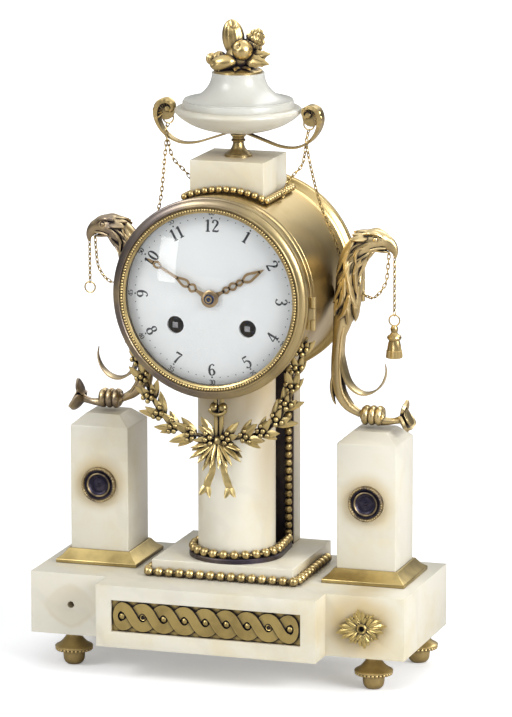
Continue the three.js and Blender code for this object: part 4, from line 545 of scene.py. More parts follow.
facing_front = Matrix.Rotation(math.radians(90), 4, "X")
wing_face = -37.5
rosette_middle = middle_of("base_rosette")
rosette_middle.y = wing_face
rosette_wide = 16.8
rosette_tall = 12.8
rosette_slant = 12.4
rosette_tilt = Matrix.Rotation(math.radians(11), 4, "Z")
boss = [
    (0, 0), (8, 0), (7.4, 0.8), (4.2, 1.3), (3.6, 2.6), (2.7, 3.6), (1.9, 3.4), (1.5, 2), (1.3, 0.4),
    (0, 0.3),
]
form = turned(boss, (0, 0, 0), steps=32)
for count in range(8):
    reach = (rosette_tall, rosette_slant, rosette_wide, rosette_slant)[count % 4]
    turn = math.radians(45 * count + (0, 5, 0, -5)[count % 4])
    width, rise = ((9.5, 0.9), (8, 0.4))[count % 2]
    place = Matrix.Rotation(turn, 4, "Z") @ Matrix.Translation((0, 2, rise))
    set_in(form, acanthus(reach - 2, width), [place])
rosette_place = Matrix.Translation(rosette_middle) @ facing_front @ rosette_tilt
bmesh.ops.transform(form, matrix=rosette_place, verts=form.verts)
shown(form, "leaf_rosette", "base_rosette", panel_gilt)


# Side pedestals, collars and medallions
# Two square marble posts with chamfered tops, each standing in a plain moulded gilt collar.
# A dark patinated bronze medallion of turned rings is pinned to the front of each.
def medal_finish():
    """Dark patina over the medallions, rubbed to brown gilding on their two raised rings."""
    material, paint, surface = new_finish("medallion_bronze")
    place = paint.place()
    cloud = paint.noise(place, 160, 4, 0.6)
    x, y, height = paint.axes(place)
    reach = (abs(x) - medal_spot.x).reach(height - medal_spot.z)
    outer = (0.0013 - abs(reach - 0.0103)).eased(0, 0.0006)
    inner = (0.0008 - abs(reach - 0.0071)).eased(0, 0.0006)
    rings = outer.most(inner) * (0.35 + 0.65 * cloud.eased(0.35, 0.6))
    colour = paint.mix(cloud.eased(0.4, 0.7), (0.03, 0.027, 0.05), (0.075, 0.065, 0.085))
    colour = paint.mix(rings, colour, (0.36, 0.28, 0.15))
    paint.fill(surface, {"Base Color": colour, "Metallic": 0.9, "Roughness": 0.32 + cloud * 0.2,
                         "Normal": paint.bump(0.4, 0.0004, cloud)})
    return material


patina = bronze_finish("patinated_bronze", (0.15, 0.12, 0.10), (0.065, 0.055, 0.075), (0.014, 0.012, 0.022),
                       0.004, 0.5)
medal_bronze = medal_finish()
collar_gilt = bronze_finish("collar_gilt", (0.57, 0.44, 0.185), (0.37, 0.28, 0.115))
medal = [
    (0, 2.2), (0.7, 2.1), (1.1, 1.5), (1.3, 1), (2.2, 0.8), (5.6, 0.9), (6.1, 1.2), (6.6, 2.1), (7.1, 2.5),
    (7.6, 2.3), (8, 1.5), (8.5, 1.1), (9.1, 1.2), (9.4, 1.9), (9.9, 2.9), (10.4, 3.2), (10.9, 2.8),
    (11.2, 1.9), (11.2, 0), (0, 0),
]
for side in ("left", "right"):
    worn("pedestal_" + side, "polished_pedestal_" + side, 0.6, marble)
    worn("pedestal_collar_" + side, "moulded_collar_" + side, 0.35, collar_gilt)
    middle = middle_of("medallion_" + side)
    middle.y = room("medallion_" + side)[1].y
    form = turned(medal, middle, (0, -1, 0), (0, 0, 1))
    for size, rings, count, reach, rise in ((0.85, 6, 40, 10.3, 2.6), (0.5, 5, 26, 4.4, 0.9)):
        ring = round_places(count, reach, middle - Vector((0, rise, 0)), (0, -1, 0))
        set_in(form, bead(size, rings), ring)
    shown(form, "ringed_medallion_" + side, "medallion_" + side, medal_bronze)


# Column and its plinth
# A square marble plinth and a round marble column that carries the drum on its hollowed top.
# A row of gilt beads runs round the foot of each, the column's on a dark fillet.
def saddle(radius, centre, foot, steps):
    """A round shaft whose top is hollowed to sit under the drum."""
    form = bmesh.new()
    base = Matrix.Translation((0, centre, foot)) @ Matrix.Rotation(math.pi / steps, 4, "Z")
    bmesh.ops.create_circle(form, cap_ends=True, segments=steps, radius=radius, matrix=base)
    top = bmesh.ops.extrude_face_region(form, geom=form.faces[:])["geom"]
    corners = [item for item in top if isinstance(item, bmesh.types.BMVert)]
    for corner in corners:
        corner.co.z = drum_z - math.sqrt((drum_radius + 0.1) ** 2 - corner.co.x ** 2)
    corners.sort(key=lambda corner: corner.co.x)
    front = [corner for corner in corners if corner.co.y < centre]
    back = [corner for corner in corners if corner.co.y > centre]
    for pair in list(zip(front, back))[1:-1]:
        bmesh.ops.connect_verts(form, verts=list(pair))
    bmesh.ops.recalc_face_normals(form, faces=form.faces)
    return form


def spaced(line, pitch):
    """Points along a line of points, that far apart."""
    runs = [(b - a).length for a, b in zip(line, line[1:])]
    count = max(1, round(sum(runs) / pitch))
    points = []
    run = 0.0
    here = 0
    for step in range(count + 1):
        reach = sum(runs) * step / count
        while here < len(runs) - 1 and run + runs[here] < reach:
            run += runs[here]
            here += 1
        points.append(line[here].lerp(line[here + 1], (reach - run) / runs[here]))
    return points


def bead_row(line, radius, pitch, closed=False):
    """Beads on a thin strip, as they are cast in one length."""
    points = spaced(line, pitch)
    if closed:
        points = points[:-1]
    form = bmesh.new()
    set_in(form, bead(radius), [Matrix.Translation(point) for point in points])
    strip = [(-0.5, -0.5), (0.5, -0.5), (0.5, 0.5), (-0.5, 0.5)]
    for here, there in zip(line, line[1:]):
        join(form, swept(strip, [framed(end, there - here, (0, 0, 1)) for end in (here, there)]))
    return form


worn("column_plinth", "polished_plinth", 0.5, marble)
low, high = room("column")
column_radius = (high.x - low.x) / 2
column_y = (low.y + high.y) / 2
shown(saddle(column_radius, column_y, low.z, 96), "polished_column", "column", marble)

low, high = room("plinth_beading")
plinth_pitch = 6.7
bead_size = (high.z - low.z) / 2
edge = high.x - bead_size
line = [Vector((-edge, y, low.z + bead_size)) for y in (high.y - bead_size, low.y + bead_size)]
line += [Vector((-point.x, point.y, point.z)) for point in reversed(line)]
shown(bead_row(line, bead_size * 1.1, plinth_pitch), "plinth_beads", "plinth_beading", gilt)

low, high = room("column_beading")
column_bead = 2.8
column_pitch = 6.9
fillet_height = 3.0
sweep_radius = column_radius + column_bead + 0.3
leg = Vector((sweep_radius - 2, high.y - column_bead, low.z))
line = [Vector((x, y, low.z)) for x, y in arc(0, column_y, sweep_radius, 180, 360, 48)]
line = [Vector((-leg.x, leg.y, leg.z))] + line + [leg]
frames = [framed(place, ahead_at(line, step), (0, 0, 1)) for step, place in enumerate(line)]
fillet = [(0, -2.5), (2.3, -2.5), (fillet_height, -1.9), (fillet_height, 1.9), (2.3, 2.5), (0, 2.5)]
shown(swept(fillet, frames), "column_fillet", "column_beading", patina)
line = [place + Vector((0, 0, fillet_height + column_bead * 0.85)) for place in line]
shown(bead_row(line, column_bead * 1.05, column_pitch), "column_beads", None, gilt)


# Rear pier and its facing
# A flat marble pier behind the pendulum, sawn to fit under the drum.
# Its front is faced with a dark bronze plate between two strips of beads.
worn("rear_pier", "polished_pier", 0.5, marble)
low, high = room("pier_facing")
form = block((low.x, high.y - 1.2, low.z), (high.x, high.y, drum_z - drum_radius - 0.4))
shown(form, "faced_pier", "pier_facing", patina)
strip_bead = 2.5
strip_pitch = 5.0
strip_x = high.x - 2.9
strip_y = high.y - 2.4
strip_foot = low.z + 2.4
strip_top = drum_z - math.sqrt((drum_radius + 3) ** 2 - strip_x ** 2)
form = bmesh.new()
for x in (-strip_x, strip_x):
    strip = [Vector((x, strip_y, strip_foot)), Vector((x, strip_y, strip_top))]
    set_in(form, bead(strip_bead), [Matrix.Translation(point) for point in spaced(strip, strip_pitch)])
shown(form, "pier_beads", None, gilt)


# Drum case
# A drum of spun and turned gilt brass, open at both ends, with ribbed bands front and back.
# Hinge knuckles are brazed on at the right, and a slot below lets the pendulum through.
def knuckle(pin_x, pin_y, ranges, leaf_low, leaf_high, root):
    """Turned knuckles and their leaf on a pin that stands at the side of the drum."""
    form = bmesh.new()
    for low, high in ranges:
        barrel = [(0, low), (1.5, low), (1.7, low + 0.2), (1.7, high - 0.2), (1.5, high), (0, high)]
        join(form, turned(barrel, (pin_x, pin_y, hinge_z), steps=20))
        join(form, block((root, leaf_low, hinge_z + low), (pin_x, leaf_high, hinge_z + high)))
    return form


def brushed_finish(name, bright, dull, rough, left_darkening=0.0):
    """Gilt brass with the fine rings of the lathe round the drum's own line."""
    material, paint, surface = new_finish(name)
    place = paint.place()
    cloud = paint.noise(place, 32, 4, 0.55)
    centred = paint.node("ShaderNodeMapping", {}, {0: place, "Location": (0, 0, -drum_z * 0.001)})
    x, y, height = paint.axes(centred)
    rings = paint.node("ShaderNodeCombineXYZ", {}, {"X": x.reach(height), "Y": y})
    lines = paint.noise(rings, 1600, 3, 0.6)
    hollow = 1 - paint.openness(0.002, 8, only_local=True).eased(0.35, 0.85)
    # The finish is painted darker and browner towards its left side, as strongly as the last argument says.
    darker_left = (0.045 - x).eased(0, 0.08) * (0.45 + 0.55 * cloud.eased(0.35, 0.6))
    colour = paint.mix(cloud.eased(0.4, 0.7), bright, dull)
    colour = paint.mix(hollow * 0.8, colour, (0.10, 0.065, 0.03))
    colour = paint.mix(darker_left * left_darkening, colour, (0.16, 0.135, 0.135))
    paint.fill(surface, {
        "Base Color": colour,
        "Metallic": 1.0,
        "Roughness": rough + cloud * 0.12 + lines * 0.06,
        "Normal": paint.bump(0.12, 0.0001, lines),
    })
    return material


drum_middle = (0, 0, drum_z)
drum_front = -43.6
drum_back = 54.6
slot_front = 30.5
slot_back = 39.5
slot_half = 9
hinge_z = drum_z - 6
front_pin = 64.9
rear_pin = 66.6
hinge_leaf = 1.5
case_ranges = [(-10.2, -3.6), (3.6, 10.2)]
door_ranges = [(-3.3, 3.3)]
shell = [
    (57, drum_front), (60.9, drum_front), (61.4, -43.2), (61.5, -42.6), (61.5, -37.6), (61.2, -37),
    (60.5, -36.6), (60.5, -35.8), (61, -35.4), (61.2, -34.8), (61.2, -30.4), (60.9, -29.8), (60.3, -29.5),
    (60.3, -28.9), (60.7, -28.5), (60.7, -26.8), (60.3, -26.4), (60, -26), (60, slot_front), (60, slot_back),
    (60, 43.6), (60.4, 44.6), (61.2, 45.2), (61.6, 45.8), (61.5, 46.4), (61.9, 47), (62.9, 47.8),
    (63.8, 48.5), (64.2, 49.2), (64.2, 50.4), (63.9, 50.9), (63.4, 51.1), (63.4, 51.6), (63.9, 51.8),
    (64.2, 52.3), (64.2, 53.8), (63.8, 54.4), (63.2, drum_back), (57, drum_back), (57, slot_back),
    (57, slot_front),
]
form = turned(shell, drum_middle, (0, 1, 0), (0, 0, -1), 168, closed=True)
slot_faces = []
for face in form.faces:
    spot = face.calc_center_median()
    if spot.z < drum_z and abs(spot.x) < slot_half and slot_front < spot.y < slot_back:
        slot_faces.append(face)
bmesh.ops.delete(form, geom=slot_faces, context="FACES")
bmesh.ops.bridge_loops(form, edges=[edge for edge in form.edges if edge.is_boundary])
join(form, knuckle(front_pin, drum_front, case_ranges, drum_front, drum_front + hinge_leaf, 60.5))
join(form, knuckle(rear_pin, drum_back, case_ranges, drum_back - hinge_leaf, drum_back, 60.5))
drum_gilt = brushed_finish("turned_gilt", (0.56, 0.43, 0.20), (0.43, 0.315, 0.13), 0.22)
shown(form, "turned_drum", "drum_case", drum_gilt, crease=30)


# Movement
# The brass plates, barrels and wheels and the steel arbors behind the dial.
# They are seen only with the rear door open, so the CAD solids stay and are given their metal.
def metal_finish(name, bright, dull, rough, scale):
    material, paint, surface = new_finish(name)
    place = paint.place()
    cloud = paint.noise(place, scale, 4, 0.6)
    streak = paint.node("ShaderNodeMapping", {}, {0: place, "Scale": (1, 1, 14)})
    lines = paint.noise(streak, scale * 9, 3, 0.6)
    paint.fill(surface, {"Base Color": paint.mix(cloud.eased(0.35, 0.7), bright, dull), "Metallic": 1.0,
                         "Roughness": rough + lines * 0.15, "Normal": paint.bump(0.1, 0.0001, lines)})
    return material


def refinish(finish, *nodes):
    for node in nodes:
        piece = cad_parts[node]
        if not piece.material_slots:
            piece.data.materials.append(finish)
        for slot in piece.material_slots:
            slot.material = finish


brass = metal_finish("movement_brass", (0.66, 0.48, 0.19), (0.52, 0.36, 0.13), 0.24, 60)
steel = metal_finish("polished_steel", (0.46, 0.47, 0.49), (0.30, 0.31, 0.33), 0.22, 80)
refinish(brass, "front_plate", "back_plate", "suspension_cock", "going_barrel", "strike_barrel",
         "intermediate_wheel", "centre_wheel", "third_wheel", "escape_wheel", "cannon_pinion", "hour_wheel",
         "minute_wheel")
refinish(steel, "bell_stand", "hammer", "going_arbor", "strike_arbor", "pallets")


# Bell
# A shallow spun brass bell, carried on a steel stand behind the back plate.
# The hammer strikes the outside of its lip.
def lathed(outline, middle, steps, closed=False):
    """Spins an outline of (radius, y) points about a line from front to back."""
    return turned(outline, middle, (0, 1, 0), (0, 0, 1), steps, closed)


def bell_line(reach, depth, back):
    """Half of the bell's section, from its crown out to its lip."""
    turns = [math.pi / 2 * step / 16 for step in range(17)]
    return [(4 + (reach - 4) * math.sin(turn), back - depth * (1 - math.cos(turn))) for turn in turns]


low, high = room("bell")
bell_radius = (high.x - low.x) / 2
bell_depth = high.y - low.y
bell_wall = 1.4
section = [(0, high.y)] + bell_line(bell_radius, bell_depth, high.y)
section += bell_line(bell_radius - bell_wall, bell_depth - bell_wall, high.y - bell_wall)[::-1]
section += [(0, high.y - bell_wall)]
shown(lathed(section, drum_middle, 96), "spun_bell", "bell", brass)


# Pendulum
# A thin brass rod with a lens-shaped bob, hung from the cock behind the movement.
# It swings in the gap between the column and the pier.
low, high = room("pendulum")
bob_radius = (high.x - low.x) / 2
bob_y = (low.y + high.y) / 2
bob_thick = (high.y - low.y) / 2
shares = [step / 8 for step in range(9)]
lens = [(bob_radius * share, bob_thick * (1 - 0.8 * share ** 2)) for share in shares]
lens += [(radius, -height) for radius, height in reversed(lens)]
form = lathed(lens, (0, bob_y, low.z + bob_radius), 56)
join(form, turned([(0, low.z), (0.9, low.z), (0.9, high.z - 6), (0, high.z - 6)], (0, bob_y, 0), steps=12))
join(form, block((-1.6, bob_y - 0.5, high.z - 7), (1.6, bob_y + 0.5, high.z)))
shown(form, "hung_pendulum", "pendulum", brass, "pendulum")


# Rear door
# A turned brass lid with a dished middle and rolled edge that closes the back of the drum.
# It swings on a knuckle at the right.
door_y = drum_back + 0.3
lid = [
    (0, 2.2), (8, 2.2), (9, 2.6), (10.4, 2.6), (11.4, 2.2), (47, 2.2), (48.4, 2.5), (49.8, 2.2), (53.5, 2.2),
    (55.5, 2.6), (57.5, 2.9), (61.2, 3), (62.4, 2.7), (63.1, 1.9), (63.2, 0), (57, 0), (54, 1), (0, 1),
]
form = turned(lid, (0, door_y, drum_z), (0, 1, 0), (0, 0, -1), 128)
join(form, knuckle(rear_pin, drum_back, door_ranges, door_y, door_y + hinge_leaf, 61))
shown(form, "turned_rear_door", "rear_door", drum_gilt, "rear_door", 30)


# Dial
# A domed copper disc covered in cool white enamel, with fired black numerals and minute dots.
# The holes are for the hands' pipe and for the two winding squares.
def enamel_finish():
    material, paint, surface = new_finish("enamel")
    place = paint.place()
    cloud = paint.noise(place, 40, 4, 0.6)
    speck = paint.noise(place, 700, 2, 0.5)
    colour = paint.mix(cloud.eased(0.35, 0.75), (0.88, 0.89, 0.885), (0.845, 0.858, 0.855))
    colour = paint.mix(speck.eased(0.74, 0.82) * 0.35, colour, (0.45, 0.44, 0.42))
    paint.fill(surface, {"Base Color": colour, "Roughness": 0.16 + cloud * 0.08, "Coat Weight": 0.3})
    return material


def ink_finish():
    material, paint, surface = new_finish("fired_ink")
    cloud = paint.noise(paint.place(), 350, 3, 0.6)
    colour = paint.mix(cloud.eased(0.45, 0.8), (0.022, 0.024, 0.03), (0.09, 0.095, 0.105))
    paint.fill(surface, {"Base Color": colour, "Roughness": 0.3 + cloud * 0.1})
    return material


def dial_face(reach):
    """How far forward the domed face stands at that distance from the middle."""
    return dial_rim_y - dial_rise * (1 - (reach / dial_radius) ** 2)


def pierced(form, cutters):
    """Cuts holes through a form."""
    whole = bpy.data.objects.new("whole", pattern(form))
    tool = bpy.data.objects.new("tool", pattern(join(bmesh.new(), *cutters)))
    scene.collection.objects.link(whole)
    scene.collection.objects.link(tool)
    cut = whole.modifiers.new("holes", "BOOLEAN")
    cut.operation = "DIFFERENCE"
    cut.object = tool
    result = bmesh.new()
    result.from_object(whole, bpy.context.evaluated_depsgraph_get())
    bpy.data.objects.remove(whole)
    bpy.data.objects.remove(tool)
    return result


dial_low, dial_high = room("dial")
dial_radius = (dial_high.x - dial_low.x) / 2
dial_rise = 2.6
dial_rim_y = dial_low.y + dial_rise
dial_thick = 1.9
pipe_hole = 4.0
winding_hole = 5.4
winding_x = 23.1
winding_z = drum_z - 17.8
reaches = [pipe_hole + (dial_radius - pipe_hole) * step / 14 for step in range(15)]
face_line = [(reach, dial_face(reach)) for reach in reaches]
back_line = [(reach, y + dial_thick) for reach, y in reversed(face_line)]
form = lathed(face_line + back_line, drum_middle, 120, closed=True)
cut_front = dial_low.y - 4
cut_back = dial_high.y + 4
cutter = [(0, cut_front), (winding_hole, cut_front), (winding_hole, cut_back), (0, cut_back)]
holes = [lathed(cutter, (x, 0, winding_z), 40) for x in (-winding_x, winding_x)]
shown(pierced(form, holes), "enamel_dial", "dial", enamel_finish(), crease=30)


def smooth_line(points, steps):
    """A smooth line through the points, with that many steps between each two."""
    rows = [Vector(point) for point in points]
    ends = [rows[0] * 2 - rows[1]] + rows + [rows[-1] * 2 - rows[-2]]
    line = []
    for a, b, c, d in zip(ends, ends[1:], ends[2:], ends[3:]):
        for step in range(steps):
            t = step / steps
            bend = (c - a) * t + (2 * a - 5 * b + 4 * c - d) * t ** 2 + (3 * b - a - 3 * c + d) * t ** 3
            line.append(b + bend * 0.5)
    return line + [rows[-1]]


def route(rows, across, steps):
    """Frames along a smooth line of (x, y, z, half width, half depth) rows."""
    line = smooth_line(rows, steps)
    frames = []
    for step, row in enumerate(line):
        ahead = ahead_at(line, step)[:3]
        frames.append(framed(row[:3], ahead, across, max(row[3], 0.02), max(row[4], 0.02)))
    return frames


flat_pen = [(-0.5, 0), (0.5, 0), (0.5, 1), (-0.5, 1)]
pen_slant = (0.31, 1, 0)


def stroke(points):
    """A pen stroke in the plane, from (x, y, width) points."""
    rows = [(x, y, 0, width * 1.2 + 0.015, 0.05) for x, y, width in points]
    return swept(flat_pen, route(rows, pen_slant, 5))


def numeral_loop(middle_x, middle_y, wide, tall, thick, thin):
    points = []
    for step in range(21):
        turn = math.tau * step / 20
        width = thin + (thick - thin) * abs(math.cos(turn)) ** 1.5
        points.append((middle_x + wide * math.cos(turn), middle_y + tall * math.sin(turn), width))
    return points


figures = {
    "0": [numeral_loop(0.3, 0.5, 0.22, 0.47, 0.15, 0.05)],
    "1": [[(0.3, 0, 0.15), (0.3, 0.5, 0.15), (0.3, 1, 0.15)],
          [(0.1, 0.84, 0.04), (0.2, 0.9, 0.05), (0.3, 0.98, 0.06)],
          [(0.12, 0.03, 0.06), (0.3, 0.03, 0.06), (0.48, 0.03, 0.06)]],
    "2": [[(0.1, 0.72, 0.14), (0.12, 0.88, 0.1), (0.3, 0.98, 0.05), (0.5, 0.84, 0.13), (0.48, 0.64, 0.14),
           (0.3, 0.38, 0.08), (0.1, 0.08, 0.05)],
          [(0.08, 0.06, 0.08), (0.3, 0.07, 0.12), (0.54, 0.07, 0.1), (0.58, 0.2, 0.04)]],
    "3": [[(0.1, 0.82, 0.13), (0.28, 0.98, 0.05), (0.47, 0.82, 0.13), (0.44, 0.62, 0.1), (0.26, 0.53, 0.05)],
          [(0.26, 0.53, 0.05), (0.48, 0.44, 0.1), (0.52, 0.24, 0.14), (0.4, 0.04, 0.08), (0.24, 0.02, 0.05),
           (0.08, 0.14, 0.14)]],
    "4": [[(0.42, 0.98, 0.06), (0.22, 0.64, 0.06), (0.03, 0.29, 0.06)],
          [(0.03, 0.28, 0.06), (0.3, 0.28, 0.06), (0.62, 0.28, 0.06)],
          [(0.43, 1, 0.13), (0.43, 0.5, 0.13), (0.43, 0, 0.13)],
          [(0.28, 0.03, 0.05), (0.43, 0.03, 0.05), (0.58, 0.03, 0.05)]],
    "5": [[(0.12, 0.96, 0.06), (0.3, 0.94, 0.11), (0.52, 0.97, 0.08)],
          [(0.13, 0.96, 0.05), (0.12, 0.75, 0.05), (0.1, 0.54, 0.05)],
          [(0.1, 0.54, 0.05), (0.3, 0.62, 0.07), (0.51, 0.46, 0.13), (0.52, 0.22, 0.14), (0.38, 0.03, 0.07),
           (0.22, 0.02, 0.05), (0.08, 0.14, 0.13)]],
    "6": [[(0.48, 0.84, 0.12), (0.36, 0.97, 0.05), (0.15, 0.8, 0.1), (0.08, 0.45, 0.15), (0.13, 0.12, 0.12),
           (0.3, 0.02, 0.05), (0.48, 0.14, 0.12), (0.5, 0.34, 0.14), (0.34, 0.56, 0.05),
           (0.14, 0.42, 0.05)]],
    "7": [[(0.06, 0.8, 0.06), (0.09, 0.94, 0.09), (0.3, 0.92, 0.12), (0.56, 0.97, 0.05)],
          [(0.56, 0.97, 0.05), (0.38, 0.52, 0.1), (0.29, 0, 0.15)]],
    "8": [numeral_loop(0.3, 0.74, 0.17, 0.22, 0.12, 0.05), numeral_loop(0.3, 0.27, 0.22, 0.25, 0.14, 0.05)],
}
figures["9"] = [[(0.6 - x, 1 - y, width) for x, y, width in line] for line in figures["6"]]
figure_step = 0.62


def number(form, text, hour, reach, tall):
    """Writes a number on the dial, upright in its lower part."""
    turn = -math.radians(30 * hour)
    spin = turn + (math.pi if 4 <= hour <= 8 else 0)
    middle = Vector((-math.sin(turn) * reach, math.cos(turn) * reach, 0))
    line_place = Matrix.Translation(middle) @ Matrix.Rotation(spin, 4, "Z") @ Matrix.Scale(tall, 4)
    for count, figure in enumerate(text):
        shift = (count - (len(text) - 1) / 2) * figure_step
        place = line_place @ Matrix.Translation((shift - 0.3, -0.5, 0))
        for line in figures[figure]:
            mark = stroke(line)
            bmesh.ops.transform(mark, matrix=place, verts=mark.verts)
            join(form, mark)


hour_ring = 44.6
hour_tall = 7.4
minute_ring = 52.6
minute_tall = 3.1
dot_ring = 49.4
form = bmesh.new()
for hour in range(1, 13):
    number(form, str(hour), hour, hour_ring, hour_tall)
    number(form, str(hour * 5), hour, minute_ring, minute_tall)
for minute in range(60):
    turn = math.tau * minute / 60
    place = Matrix.Translation((dot_ring * math.sin(turn), dot_ring * math.cos(turn), 0.05))
    size = 0.55 if minute % 5 == 0 else 0.34
    bmesh.ops.create_circle(form, cap_ends=True, segments=10, radius=size, matrix=place)
for corner in form.verts:
    flat = corner.co.copy()
    lift = 0.02 + min(abs(flat.z), 0.06)
    corner.co = (flat.x, dial_face(math.hypot(flat.x, flat.y)) - lift, drum_z + flat.y)
shown(form, "dial_numerals", None, ink_finish())


# Hands
# Two pierced gilt hands: the hour hand on its pipe, and the longer minute hand under a blued nut.
# They are sawn from sheet brass, with their fronts rounded by hand.
hour_angle = 60
minute_angle = 300
hand_thick = 0.85
hand_boss = [(2.2, 0), (5.2, 0), (5.2, 0.5), (4.6, hand_thick), (2.6, hand_thick), (2.2, 0.5)]
rounded_bar = [(-1, 0), (1, 0), (0.9, 0.5), (0.5, 0.9), (-0.5, 0.9), (-0.9, 0.5)]
hand_gilt = bronze_finish("hand_gilt", (0.40, 0.28, 0.15), (0.27, 0.185, 0.10), (0.03, 0.023, 0.02),
                          0.002, 0.3, 0)


def hand(node, angle, bars, loops):
    """A hand of sawn bars and mirrored loops, each from (along, across, half width) points."""
    mirrored_loops = [[(along, -across, half) for along, across, half in loop] for loop in loops]
    form = turned(hand_boss, (0, 0, 0), steps=40, closed=True)
    for points in bars + loops + mirrored_loops:
        rows = [(across, along, 0, half * 1.2, hand_thick) for along, across, half in points]
        join(form, swept(rounded_bar, route(rows, (1, 0, 0), 5)))
    turn = Matrix.Rotation(math.radians(angle), 4, "Y") @ facing_front
    place = Matrix.Translation((0, room(node)[1].y, drum_z)) @ turn
    bmesh.ops.transform(form, matrix=place, verts=form.verts)
    shown(form, "pierced_" + node, node, hand_gilt, body=node)


hand("hour_hand", hour_angle, [
    [(4.5, 0, 1.5), (8, 0, 0.8), (10.5, 0, 0.7)],
    [(35.8, 0, 0.9), (38, 0, 0.5), (39.4, 0, 0.15)],
], [
    [(9, 0.2, 0.6), (11.5, 1.7, 0.6), (14.2, 0.2, 0.55)],
    [(13.6, 0.2, 0.6), (16.6, 2, 0.6), (19.6, 0.2, 0.55)],
    [(19, 0.2, 0.6), (21.5, 1.6, 0.6), (24.2, 0.2, 0.55)],
    [(23.6, 0.2, 0.65), (27.5, 2.3, 0.65), (32, 1.5, 0.65), (36.5, 0.3, 0.6)],
])
hand("minute_hand", minute_angle, [
    [(4.5, 0, 1.5), (8, 0, 0.9), (10.6, 0, 0.75)],
    [(23.4, 0, 0.9), (30, 0, 0.75), (36.6, 0, 0.75)],
    [(41.4, 0, 0.9), (44, 0, 0.6), (46, 0, 0.15)],
], [
    [(10, 0.3, 0.65), (12.6, 2.3, 0.65), (15.6, 0.4, 0.6)],
    [(15, 0.4, 0.65), (18.2, 2.1, 0.65), (24, 0.3, 0.65)],
    [(36, 0.3, 0.6), (38.8, 1.8, 0.6), (42, 0.3, 0.55)],
])
nut = [
    (0, -1.364), (1.2, -1.302), (1.9, -0.992), (2.1, -0.62), (3, -0.558), (3.2, -0.31), (3.2, 0.124),
    (0, 0.124),
]
nut_seat = 0.8
nut_y = room("minute_hand")[1].y - nut_seat
blued = metal_finish("blued_steel", (0.05, 0.07, 0.16), (0.03, 0.04, 0.08), 0.2, 300)
shown(lathed(nut, (0, nut_y, drum_z), 32), "blued_hand_nut", None, blued, "minute_hand")


# Front door
# A turned gilt bezel with a hollow moulding, a beaded sight ring inside it and a domed glass.
# The glass is held between the two rings, and the door swings on a knuckle at the right.
bezel_back = drum_front - 0.3
bezel = [
    (56.9, bezel_back), (62, bezel_back), (62.4, -44.3), (62.5, -44.9), (62.5, -46.2), (62.2, -46.7),
    (61.5, -47), (61.4, -47.5), (61.6, -47.9), (61.5, -48.5), (61, -49.1), (60, -49.8), (59.1, -50.2),
    (58.5, -50.4), (58.3, -50.9), (57.9, -51.2), (57.3, -51.2), (56.9, -50.8),
]
bezel_gilt = brushed_finish("bezel_gilt", (0.50, 0.395, 0.20), (0.34, 0.265, 0.135), 0.24, 0.9)
form = lathed(bezel, drum_middle, 168, closed=True)
join(form, knuckle(front_pin, drum_front, door_ranges, bezel_back - hinge_leaf, bezel_back, 61.5))
shown(form, "turned_bezel", "front_bezel", bezel_gilt, body="front_door", crease=30)

sight = [
    (53.4, -45.6), (56.6, -45.6), (56.6, -50.4), (54.6, -50.4), (54.2, -50.1), (53.7, -49.9),
    (53.4, -49.4),
]
sight_beads = 196
sight_bead_ring = 55.6
sight_bead_y = -50.7
form = lathed(sight, drum_middle, 168, closed=True)
ring = round_places(sight_beads, sight_bead_ring, (0, sight_bead_y, drum_z), (0, -1, 0))
set_in(form, bead(0.9, 6), ring)
shown(form, "beaded_sight_ring", "sight_ring", gilt, body="front_door", crease=30)


def glass_finish():
    """Clear thin glass: it lets the dial through and only adds its gloss."""
    material, paint, surface = new_finish("dome_glass")
    film = paint.noise(paint.place(), 60, 3, 0.5)
    clear = paint.node("ShaderNodeBsdfTransparent", {}, {"Color": (0.995, 1, 1)})
    gloss = paint.node("ShaderNodeBsdfGlossy", {}, {"Color": (1, 1, 1), "Roughness": 0.03})
    edge = paint.node("ShaderNodeFresnel", {}, {"IOR": 1.42})
    sheet = paint.node("ShaderNodeMixShader", {}, {0: edge * 0.55 + film * 0.01, 1: clear, 2: gloss})
    paint.fill(material.node_tree.nodes["Material Output"], {"Surface": sheet})
    material.node_tree.nodes.remove(surface)
    return material


glass_front = room("front_glass")[0].y
glass_radius = 55.0
glass_rise = 9.2
glass_thick = 1.6
ball = (glass_radius ** 2 + glass_rise ** 2) / (2 * glass_rise)
reaches = [glass_radius * step / 14 for step in range(15)]
outer = [(reach, glass_front + ball - math.sqrt(ball ** 2 - reach ** 2)) for reach in reaches]
inner = [(reach, y + glass_thick) for reach, y in reversed(outer)]
form = lathed(outer + inner, drum_middle, 120)
shown(form, "domed_glass", "front_glass", glass_finish(), "front_door", 50)


# Urn block and its saddle of beads
# A square marble block hollowed to sit on the drum, with a row of gilt beads round its foot.
# The beads follow the curve of the drum at front and back.
worn("urn_block", "polished_block", 0.6, marble)
saddle_bead = 2.3
saddle_pitch = 4.7
saddle_ride = drum_radius + saddle_bead + 0.3
saddle_x = 26.3
saddle_front = -16.3
saddle_back = 36.5
sweep = [saddle_x * (step / 10 - 1) for step in range(21)]
line = [Vector((x, saddle_front, drum_z + math.sqrt(saddle_ride ** 2 - x ** 2))) for x in sweep]
line += [Vector((point.x, saddle_back, point.z)) for point in reversed(line)]
line.append(line[0].copy())
shown(bead_row(line, saddle_bead, saddle_pitch, closed=True), "saddle_beads", "saddle_beading", gilt)


